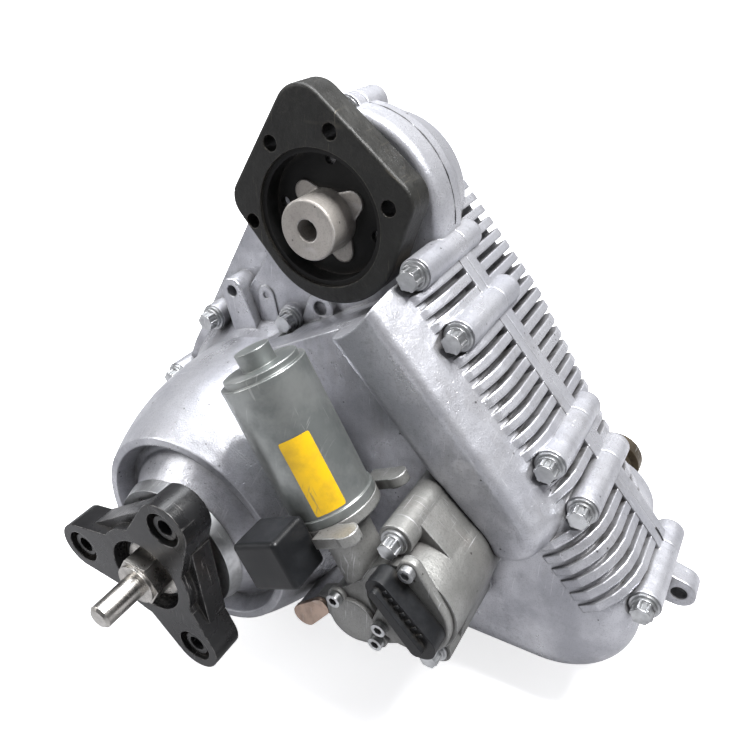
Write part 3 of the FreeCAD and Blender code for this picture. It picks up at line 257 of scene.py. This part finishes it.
def turning_group():
    """Height of the fine rings that a lathe leaves round a Y axis through (X, Z)."""
    tree, g, gin, gout = group(
        "turned_rings", {"X": 0.0, "Z": 0.0, "Pitch": 5200.0}, {"Height": "NodeSocketFloat"})
    parts = g.node("ShaderNodeSeparateXYZ")
    g.link(g.place(), parts.inputs[0])
    dx = g.math("SUBTRACT", parts.outputs[0], gin.outputs["X"])
    dz = g.math("SUBTRACT", parts.outputs[2], gin.outputs["Z"])
    radius = g.math("SQRT", g.math("ADD", g.math("MULTIPLY", dx, dx), g.math("MULTIPLY", dz, dz)))
    along = g.math("ADD", radius, parts.outputs[1])
    waves = g.math("SINE", g.math("MULTIPLY", along, gin.outputs["Pitch"]))
    drift = g.noise(260.0, 2.0, 0.5)
    g.link(g.math("MULTIPLY", waves, drift), gout.inputs["Height"])
    return tree


EDGE = edge_group()
GRIME_AND_SHADE = grime_and_shade_group()
CAST = cast_group()
SCRATCH = scratch_group()
STAIN = stain_group()
SPECKS = speck_group()
TURNED = turning_group()


def rgb(r, g, b):
    return (r, g, b, 1.0)


def scaled(tint, factor):
    """A colour made lighter or darker."""
    return tuple(c * factor for c in tint[:3]) + (1.0,)


class Material:
    """A principled material with helpers for the shared groups."""

    def __init__(self, name, metallic, roughness, coat=0.0):
        self.mat = bpy.data.materials.new(name)
        self.mat.use_nodes = True
        self.g = Graph(self.mat.node_tree)
        self.shader = self.mat.node_tree.nodes["Principled BSDF"]
        self.shader.inputs["Metallic"].default_value = metallic
        self.shader.inputs["Roughness"].default_value = roughness
        self.shader.inputs["Coat Weight"].default_value = coat

    def use(self, tree, **values):
        made = self.g.node("ShaderNodeGroup", node_tree=tree)
        for name, value in values.items():
            made.inputs[name].default_value = value
        return made.outputs

    def color(self, value):
        self.g.put(self.shader.inputs["Base Color"], value)

    def rough(self, value):
        self.g.put(self.shader.inputs["Roughness"], value)

    def metal(self, value):
        self.g.put(self.shader.inputs["Metallic"], value)

    def bump(self, layers, soften=0.0):
        """Stacks (height, distance in metres, strength) bumps on a softened normal."""
        normal = None
        if soften:
            bevel = self.g.node("ShaderNodeBevel", samples=8)
            bevel.inputs["Radius"].default_value = soften
            normal = bevel.outputs[0]
        for height, distance, strength in layers:
            bump = self.g.node("ShaderNodeBump")
            bump.inputs["Distance"].default_value = distance
            bump.inputs["Strength"].default_value = strength
            self.g.put(bump.inputs["Height"], height)
            if normal:
                self.g.link(normal, bump.inputs["Normal"])
            normal = bump.outputs[0]
        self.g.link(normal, self.shader.inputs["Normal"])


# ------------------------------------------------------------------ materials
def cast_aluminium(name, light, dark, metallic, roughness, shade_and_dirt, grain):
    """Sealed sand-grained casting: blotches, oil stains, painted shade in corners and crevices,
    outer edges lightened by wear and by a painted highlight.
    """
    m = Material(name, metallic, roughness)
    g = m.g
    skin = m.use(CAST, Grain=grain)
    grime_and_shade = m.use(GRIME_AND_SHADE, Reach=0.016, Amount=shade_and_dirt)["Mask"]
    crevice_shade = m.use(GRIME_AND_SHADE, Reach=0.006, Patches=70.0, Amount=shade_and_dirt)["Mask"]
    wear_and_highlight = m.use(EDGE, Radius=0.0008, Amount=0.7)["Mask"]
    scratch = m.use(SCRATCH, Amount=0.4)["Mask"]
    stain = m.use(STAIN, Amount=0.5)["Mask"]
    speck = m.use(SPECKS, Amount=0.8)["Mask"]
    base = g.mix(g.ramp(skin["Mottle"], 0.35, 0.68), light, dark)
    base = g.mix(g.math("MULTIPLY", skin["Fine"], 0.35), base, scaled(dark, 0.55))
    # Outer edges lightened to near white: partly worn metal, partly a painted highlight.
    base = g.mix(wear_and_highlight, base, rgb(0.90, 0.91, 0.93))
    base = g.mix(scratch, base, rgb(0.85, 0.85, 0.88))
    base = g.mix(stain, base, rgb(0.19, 0.175, 0.165))
    # Painted shade: corners and crevices found by ambient occlusion are darkened to near black,
    # mixed with some dirt patches.
    base = g.mix(g.math("MULTIPLY", grime_and_shade, 0.85), base, rgb(0.085, 0.08, 0.078))
    base = g.mix(crevice_shade, base, rgb(0.03, 0.027, 0.024))
    m.color(g.mix(speck, base, rgb(0.03, 0.026, 0.024)))
    # The painted shade also makes corners and crevices less metallic and rougher.
    m.metal(g.ramp(g.math("MAXIMUM", grime_and_shade, crevice_shade), 0.0, 0.9, metallic, 0.05))
    m.rough(g.math("ADD", g.ramp(skin["Mottle"], 0.3, 0.7, roughness - 0.08, roughness + 0.12),
                   g.math("MULTIPLY", grime_and_shade, 0.3), clamp=True))
    m.bump([(skin["Wave"], 0.005, 0.22), (skin["Height"], 0.0011, 0.42)], soften=0.0019)
    return m.mat


def plain_steel(name, tint, roughness, axis=MAIN, rings=0.25, shade_and_dirt=0.5):
    m = Material(name, 1.0, roughness)
    g = m.g
    grime_and_shade = m.use(GRIME_AND_SHADE, Reach=0.004, Patches=60.0, Amount=shade_and_dirt)["Mask"]
    scratch = m.use(SCRATCH, Size=1.6, Amount=0.6)["Mask"]
    wave = m.use(TURNED, X=axis[0], Z=axis[1])["Height"]
    cloud = g.noise(120.0, 4.0, 0.6)
    base = g.mix(g.ramp(cloud, 0.35, 0.7), tint, scaled(tint, 0.72))
    base = g.mix(scratch, base, rgb(0.8, 0.8, 0.8))
    # Painted shade with grime: corners found by ambient occlusion are darkened towards
    # brown-black.
    m.color(g.mix(grime_and_shade, base, rgb(0.05, 0.042, 0.035)))
    m.rough(g.math("ADD", g.ramp(cloud, 0.3, 0.7, roughness - 0.06, roughness + 0.1),
                   g.math("MULTIPLY", grime_and_shade, 0.35), clamp=True))
    m.bump([(wave, 0.00006, rings), (scratch, 0.00008, 0.3)], soften=0.0004)
    return m.mat


def dark_coating(name, coat_tint, bare, roughness, wear_and_highlight, grain_depth, dust):
    """Black coating over metal: bare metal at the edges, dust in the corners."""
    m = Material(name, 0.0, roughness)
    m.shader.inputs["Specular IOR Level"].default_value = 0.38
    g = m.g
    worn = m.use(EDGE, Radius=0.001, Break=210.0, Amount=wear_and_highlight)["Mask"]
    scratch = m.use(SCRATCH, Size=1.2, Amount=wear_and_highlight * 0.7)["Mask"]
    grime_and_shade = m.use(GRIME_AND_SHADE, Reach=0.006, Patches=45.0, Amount=dust)["Mask"]
    skin = m.use(CAST, Grain=1700.0, Lumps=140.0)
    metal = g.math("MAXIMUM", worn, scratch)
    base = g.mix(g.ramp(skin["Mottle"], 0.35, 0.7), coat_tint, scaled(coat_tint, 2.1))
    base = g.mix(grime_and_shade, base, rgb(0.13, 0.115, 0.095))
    m.color(g.mix(metal, base, bare))
    m.metal(metal)
    m.rough(g.math("ADD", g.ramp(skin["Mottle"], 0.3, 0.7, roughness - 0.08, roughness + 0.08),
                   g.math("MULTIPLY", grime_and_shade, 0.25), clamp=True))
    m.bump([(skin["Height"], 0.0008, grain_depth)], soften=0.0011)
    return m.mat


def rubber_like(name, tint, roughness, dust, grain):
    m = Material(name, 0.0, roughness)
    m.shader.inputs["Specular IOR Level"].default_value = 0.3
    g = m.g
    grime_and_shade = m.use(GRIME_AND_SHADE, Reach=0.005, Patches=50.0, Amount=dust)["Mask"]
    fine = g.noise(grain, 3.0, 0.6)
    cloud = g.noise(60.0, 4.0, 0.6)
    base = g.mix(g.ramp(cloud, 0.4, 0.7), tint, scaled(tint, 1.8))
    m.color(g.mix(grime_and_shade, base, rgb(0.14, 0.125, 0.105)))
    m.rough(g.ramp(cloud, 0.3, 0.7, roughness - 0.06, roughness + 0.1))
    m.bump([(fine, 0.0002, 0.4)], soften=0.0007)
    return m.mat


def drawn_can(name):
    """Motor can: zinc-plated drawn steel with draw lines along its axis and dull stains."""
    m = Material(name, 0.8, 0.36)
    g = m.g
    turn = g.node("ShaderNodeMapping")
    g.link(g.place(), turn.inputs[0])
    turn.inputs["Rotation"].default_value = (0.0, math.radians(29), 0.0)
    turn.inputs["Scale"].default_value = (500.0, 500.0, 14.0)
    lines = g.noise(1.0, 2.0, 0.5, turn.outputs[0])
    cloud = g.noise(34.0, 5.0, 0.62)
    grime_and_shade = m.use(GRIME_AND_SHADE, Reach=0.007, Patches=40.0, Amount=0.75)["Mask"]
    worn = m.use(EDGE, Radius=0.0011, Amount=0.8)["Mask"]
    scratch = m.use(SCRATCH, Size=1.1, Amount=0.6)["Mask"]
    base = g.mix(g.ramp(cloud, 0.36, 0.66), rgb(0.37, 0.385, 0.375), rgb(0.21, 0.225, 0.22))
    base = g.mix(g.math("MAXIMUM", worn, scratch), base, rgb(0.55, 0.56, 0.55))
    # Painted shade with grime: corners found by ambient occlusion are darkened to near black.
    m.color(g.mix(grime_and_shade, base, rgb(0.04, 0.037, 0.032)))
    m.rough(g.math("ADD", g.ramp(cloud, 0.3, 0.7, 0.3, 0.46),
                   g.math("MULTIPLY", grime_and_shade, 0.3), clamp=True))
    m.bump([(lines, 0.00012, 0.25), (cloud, 0.0006, 0.12)], soften=0.0012)
    return m.mat


def yellow_paper():
    """Plain yellow sticker, slightly faded and scratched."""
    m = Material("sticker", 0.0, 0.42, coat=0.25)
    g = m.g
    cloud = g.noise(90.0, 4.0, 0.6)
    scratch = m.use(SCRATCH, Size=1.3, Amount=0.8)["Mask"]
    base = g.mix(g.ramp(cloud, 0.4, 0.75), rgb(0.72, 0.44, 0.006), rgb(0.52, 0.32, 0.012))
    m.color(g.mix(scratch, base, rgb(0.30, 0.22, 0.06)))
    m.rough(g.ramp(cloud, 0.3, 0.7, 0.34, 0.52))
    m.bump([(g.noise(700.0, 2.0, 0.5), 0.00006, 0.3)])
    return m.mat


SILVER = cast_aluminium("cast_aluminium", rgb(0.60, 0.605, 0.64), rgb(0.41, 0.415, 0.45),
                        0.68, 0.33, 1.0, 1250.0)
GREY_CAST = cast_aluminium("grey_casting", rgb(0.29, 0.29, 0.28), rgb(0.18, 0.18, 0.172),
                           0.55, 0.42, 1.0, 1000.0)
CORE = cast_aluminium("mount_core", rgb(0.52, 0.49, 0.455), rgb(0.38, 0.355, 0.33),
                      0.5, 0.44, 0.9, 1200.0)
STEEL = plain_steel("machined_steel", rgb(0.52, 0.50, 0.47), 0.28)
STUB = plain_steel("front_stub", rgb(0.20, 0.165, 0.12), 0.45, axis=FRONT, shade_and_dirt=1.0)
ZINC = plain_steel("zinc_steel", rgb(0.60, 0.61, 0.62), 0.33, rings=0.05, shade_and_dirt=0.9)
BEARING = plain_steel("bearing_steel", rgb(0.72, 0.73, 0.74), 0.14, shade_and_dirt=0.2)
CHAIN = plain_steel("chain_steel", rgb(0.30, 0.30, 0.29), 0.38, rings=0.0, shade_and_dirt=0.7)
BRACKET = plain_steel("pressed_bracket", rgb(0.58, 0.44, 0.36), 0.36, rings=0.0, shade_and_dirt=0.7)
FLANGE = dark_coating("black_steel", rgb(0.0085, 0.0085, 0.009), rgb(0.36, 0.35, 0.34),
                      0.27, 0.65, 0.14, 0.3)
MOUNT = dark_coating("mount_black", rgb(0.0095, 0.0095, 0.0085), rgb(0.13, 0.12, 0.10),
                     0.46, 0.75, 0.7, 0.6)
MAGNET = dark_coating("magnet", rgb(0.05, 0.05, 0.052), rgb(0.3, 0.3, 0.3), 0.6, 0.2, 0.3, 0.2)
RUBBER = rubber_like("black_rubber", rgb(0.006, 0.006, 0.006), 0.62, 0.35, 900.0)
PLASTIC = rubber_like("black_plastic", rgb(0.007, 0.0075, 0.0085), 0.38, 0.3, 1600.0)
SEALANT = rubber_like("sealant", rgb(0.018, 0.018, 0.02), 0.5, 0.5, 700.0)
LINING = rubber_like("friction_lining", rgb(0.13, 0.085, 0.05), 0.8, 0.2, 1200.0)
CAN = drawn_can("motor_steel")
STICKER = yellow_paper()

BY_SLOT = {
    "cast_aluminium": SILVER, "machined_steel": STEEL, "black_steel": FLANGE, "zinc_steel": ZINC,
    "bearing_steel": BEARING, "friction_lining": LINING, "black_plastic": PLASTIC,
    "black_rubber": RUBBER, "mount_black": MOUNT, "grey_casting": GREY_CAST,
    "motor_steel": CAN, "copper_zinc": BRACKET, "magnet": MAGNET, "chain_steel": CHAIN,
}
BY_NODE = {"mount_core": CORE, "front_output_shaft": STUB, "front_flange": STUB}


def smooth(mesh, angle):
    """Smooth shading with sharp edges kept above an angle."""
    mesh.shade_smooth()
    mesh.set_sharp_from_angle(angle=math.radians(angle))


for entry in frame["record"]["subparts"]:
    node = frame["nodes"][entry["node"]]
    node.data.materials.clear()
    node.data.materials.append(BY_NODE.get(entry["node"], BY_SLOT[entry["material_slot"]]))
    for face in node.data.polygons:
        face.material_index = 0


# ------------------------------------------------------------------ pieces added for looks
def finish_piece(bm, name, material, body, angle=35.0):
    mesh = bpy.data.meshes.new(name)
    bmesh.ops.recalc_face_normals(bm, faces=bm.faces)
    bm.to_mesh(mesh)
    bm.free()
    smooth(mesh, angle)
    obj = bpy.data.objects.new(name, mesh)
    scene.collection.objects.link(obj)
    mesh.materials.append(material)
    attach(obj, body)
    return obj


def ring_piece(name, profile, centre, material, body, steps=96):
    """Piece turned about a Y axis from (radius, y) corners in mm, y from the rear face."""
    bm = bmesh.new()
    loops = []
    for i in range(steps):
        a = 2 * math.pi * i / steps
        loops.append([
            bm.verts.new((centre[0] + r * MM * math.cos(a), FACE_Y + y * MM,
                          centre[1] + r * MM * math.sin(a)))
            for r, y in profile
        ])
    count = len(profile)
    for i in range(steps):
        a = loops[i]
        b = loops[(i + 1) % steps]
        for j in range(count):
            k = (j + 1) % count
            bm.faces.new((a[j], a[k], b[k], b[j]))
    return finish_piece(bm, name, material, body)


def round_profile(r, y, size, count=12):
    """Round section of the given size about (r, y), in mm."""
    turns = [2 * math.pi * i / count for i in range(count)]
    return [(r + size * math.cos(a), y + size * math.sin(a)) for a in turns]


def sticker():
    """Yellow sticker bent round the motor can, with rounded corners and a lifted corner."""
    radius = MOTOR_RADIUS + 0.12 * MM
    along = (-108.2 * MM, -64.6 * MM)
    round_by = (math.radians(116.5), math.radians(158.0))
    side = MOTOR_DIR.cross(Vector((0, 1, 0)))
    bm = bmesh.new()
    nu, nv = 26, 26
    corner = 0.06
    grid = []
    for i in range(nu + 1):
        row = []
        for j in range(nv + 1):
            u = i / nu
            v = j / nv
            inset = 0.0
            for cu, cv in ((0, 0), (0, 1), (1, 0), (1, 1)):
                du = abs(u - cu)
                dv = abs(v - cv)
                if du < corner and dv < corner:
                    inset = max(inset, math.hypot(corner - du, corner - dv) - corner)
            s = along[0] + (along[1] - along[0]) * (u + (0.5 - u) * inset * 1.1)
            a = round_by[0] + (round_by[1] - round_by[0]) * (v + (0.5 - v) * inset * 1.1)
            lift = radius + 0.00025 * max(0.0, u + v - 1.8) / 0.2
            out = Vector((0, 1, 0)) * math.cos(a) + side * math.sin(a)
            row.append(bm.verts.new(MOTOR_ORIGIN + MOTOR_DIR * s + out * lift))
        grid.append(row)
    for i in range(nu):
        for j in range(nv):
            bm.faces.new((grid[i][j], grid[i + 1][j], grid[i + 1][j + 1], grid[i][j + 1]))
    return finish_piece(bm, "sticker", STICKER, "case")


sticker()

# Seal rings inside the flange's recess.
ring_piece("recess_seal", round_profile(21.4, 9.6, 1.7), MAIN, RUBBER,
           "rear_output")
ring_piece("recess_spring", round_profile(19.9, 8.6, 0.5, 8), MAIN, BEARING,
           "rear_output")


def prism(bm, corners, y_low, y_high, lift=0.0):
    """Adds a plate with (x, z) corners in mm, its front edge drawn in by lift."""
    middle = (sum(c[0] for c in corners) / len(corners), sum(c[1] for c in corners) / len(corners))
    drawn = []
    for x, z in corners:
        reach = math.hypot(x - middle[0], z - middle[1])
        k = 1 - lift / reach
        drawn.append((middle[0] + (x - middle[0]) * k, middle[1] + (z - middle[1]) * k))
    rows = [(corners, y_high), (corners, y_low + lift), (drawn, y_low)]
    made = [[bm.verts.new((x * MM, FACE_Y + y * MM, z * MM)) for x, z in row] for row, y in rows]
    for a, b in zip(made, made[1:]):
        for i in range(len(corners)):
            j = (i + 1) % len(corners)
            bm.faces.new((a[i], a[j], b[j], b[i]))
    bm.faces.new(made[0])
    bm.faces.new(made[-1])


def connector_ribs():
    """Grip ribs across the sensor plug, beside its latch."""
    a = Vector((139.0, 43.0))
    b = Vector((163.0, 17.0))
    along = (b - a).normalized()
    across = Vector((-along.y, along.x))
    bm = bmesh.new()
    rib_count = 7
    rib_pitch = 4.6
    for k in range(rib_count):
        at = a + along * (2.0 + rib_pitch * k)
        for side in (-1, 1):
            inner = at + across * side * 3.8
            outer = at + across * side * (5.9 + 0.25 * k)
            t = along * 0.9
            corners = [tuple(p) for p in (inner - t, outer - t, outer + t, inner + t)]
            prism(bm, corners, 24.1, 25.6, 0.3)
    return finish_piece(bm, "connector_ribs", PLASTIC, "case")


def shaft_splines():
    """Splines inside the main shaft's socket at the gearbox end."""
    bm = bmesh.new()
    teeth = 26
    for i in range(teeth):
        a = 2 * math.pi * i / teeth
        corners = []
        for turn, r in ((-0.075, 13.3), (-0.04, 11.9), (0.04, 11.9), (0.075, 13.3)):
            corners.append((r * math.cos(a + turn), r * math.sin(a + turn)))
        prism(bm, corners, 221.0, 244.0, 0.2)
    return finish_piece(bm, "shaft_splines", STEEL, "rear_output")


def outline(circles, angle):
    """How far a hull of circles reaches in a direction, and the point where it does."""
    out = (math.cos(angle), math.sin(angle))
    return max((x * out[0] + z * out[1] + r, (x + r * out[0], z + r * out[1]))
               for (x, z), r in circles)


def sealant_bead(hulls, size=0.8, steps=360):
    """Thin bead of sealant squeezed out all round the joint between the two halves."""
    turns = [2 * math.pi * i / steps for i in range(steps)]
    bm = bmesh.new()
    for circles in hulls:
        others = [h for h in hulls if h is not circles]
        rows = []
        for a in turns:
            x, z = outline(circles, a)[1]
            hidden = any(
                all(x * math.cos(t) + z * math.sin(t) < outline(other, t)[0] - 0.5 for t in turns)
                for other in others)
            swell = size * (1 + 0.25 * math.sin(23 * a) * math.sin(7 * a + 1))
            ring = []
            for k in range(8):
                c = 2 * math.pi * k / 8
                reach = swell * math.cos(c)
                ring.append(bm.verts.new((
                    (x + reach * math.cos(a)) * MM, SPLIT_Y + swell * math.sin(c) * MM,
                    (z + reach * math.sin(a)) * MM)))
            rows.append((hidden, ring))
        for (off, ring), (next_off, next_ring) in zip(rows, rows[1:] + rows[:1]):
            if off or next_off:
                continue
            for k in range(8):
                j = (k + 1) % 8
                bm.faces.new((ring[k], ring[j], next_ring[j], next_ring[k]))
    bmesh.ops.delete(bm, geom=[v for v in bm.verts if not v.link_faces], context="VERTS")
    bmesh.ops.holes_fill(bm, edges=bm.edges, sides=8)
    return finish_piece(bm, "sealant_bead", SEALANT, "case")


shaft_splines()
sealant_bead([JOINT_FLANGE, JOINT_WEB])
connector_ribs()

# ------------------------------------------------------------------ stage, lights, camera
low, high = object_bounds()


def stage_floor():
    """Pale floor that shows white far off; its glow is turned down near the case, a painted soft
    shade round the case that lets the lamps' shadow show.
    """
    bm = bmesh.new()
    size = 6.0
    z = low[2] - 0.0005
    corners = [bm.verts.new((x * size, y * size, z))
               for x, y in ((-1, -1), (1, -1), (1, 1), (-1, 1))]
    bm.faces.new(corners)
    mesh = bpy.data.meshes.new("floor")
    bm.to_mesh(mesh)
    bm.free()
    floor = bpy.data.objects.new("floor", mesh)
    scene.collection.objects.link(floor)
    mat = bpy.data.materials.new("floor")
    mat.use_nodes = True
    g = Graph(mat.node_tree)
    shader = mat.node_tree.nodes["Principled BSDF"]
    shader.inputs["Roughness"].default_value = 0.9
    shader.inputs["Specular IOR Level"].default_value = 0.0
    shader.inputs["Emission Color"].default_value = rgb(1.0, 1.0, 1.0)
    path = g.node("ShaderNodeLightPath")
    shown = g.math("MAXIMUM", path.outputs["Is Camera Ray"], path.outputs["Is Transmission Ray"])
    away = g.node("ShaderNodeVectorMath", operation="LENGTH")
    g.link(g.place(), away.inputs[0])
    g.link(g.mix(shown, rgb(0.30, 0.30, 0.31), rgb(0.86, 0.86, 0.87)), shader.inputs["Base Color"])
    # Painted shade round the case: the floor's glow is 0.70 within about 0.3 m of the origin and
    # rises to 1.15 by 1.1 m; it also glows faintly to reflected rays.
    glow_dimmed_near_case = g.ramp(away.outputs["Value"], 0.3, 1.1, 0.70, 1.15)
    mirrored = g.math("MULTIPLY", path.outputs["Is Glossy Ray"], 0.12)
    seen = g.math("ADD", g.math("MULTIPLY", shown, glow_dimmed_near_case), mirrored)
    g.link(seen, shader.inputs["Emission Strength"])
    mesh.materials.append(mat)


def area_light(name, place, target, size, power, tint=(1.0, 1.0, 1.0)):
    data = bpy.data.lights.new(name, "AREA")
    data.shape = "RECTANGLE"
    data.size = size[0]
    data.size_y = size[1]
    data.energy = power
    data.color = tint
    lamp = bpy.data.objects.new(name, data)
    lamp.location = place
    lamp.rotation_euler = (Vector(target) - Vector(place)).to_track_quat("-Z", "Y").to_euler()
    scene.collection.objects.link(lamp)


def world_light():
    world = bpy.data.worlds.new("studio")
    scene.world = world
    world.use_nodes = True
    g = Graph(world.node_tree)
    shade = world.node_tree.nodes["Background"]
    path = g.node("ShaderNodeLightPath")
    place = g.node("ShaderNodeTexCoord")
    parts = g.node("ShaderNodeSeparateXYZ")
    g.link(place.outputs["Generated"], parts.inputs[0])
    sky = g.ramp(parts.outputs[2], 0.0, 0.9, 0.09, 0.46)
    side = g.ramp(parts.outputs[0], -0.9, 0.9, 0.85, 1.1)
    level = g.math("MULTIPLY", sky, side)
    lit = g.node("ShaderNodeCombineColor")
    g.link(level, lit.inputs[0])
    g.link(level, lit.inputs[1])
    g.link(g.math("MULTIPLY", level, 1.05), lit.inputs[2])
    backdrop = g.mix(path.outputs["Is Camera Ray"], lit.outputs[0], rgb(1.0, 1.0, 1.0))
    g.link(backdrop, shade.inputs["Color"])
    shade.inputs["Strength"].default_value = 1.0


stage_floor()
world_light()
centre = ((low[0] + high[0]) / 2, (low[1] + high[1]) / 2, (low[2] + high[2]) / 2)
area_light("key", (0.5, -0.05, 1.4), centre, (0.6, 0.6), 50.0)
area_light("top", (-0.5, 0.3, 1.3), centre, (0.9, 0.6), 15.0, (0.95, 0.97, 1.0))
area_light("side", (-1.1, -0.9, 0.75), centre, (0.3, 0.9), 9.0)

AZIMUTH = 29.97
ELEVATION = 32.79
LENS = 34.65
CAMERA_AT = (0.2577, FACE_Y - 0.1824, 0.3221)
camera_data = bpy.data.cameras.new("camera")
camera_data.sensor_width = 36.0
camera_data.lens = LENS
camera = bpy.data.objects.new("camera", camera_data)
camera.location = CAMERA_AT
camera.rotation_euler = (math.radians(90 - ELEVATION), 0.0, math.radians(AZIMUTH))
scene.collection.objects.link(camera)
scene.camera = camera
scene.view_settings.view_transform = "Standard"
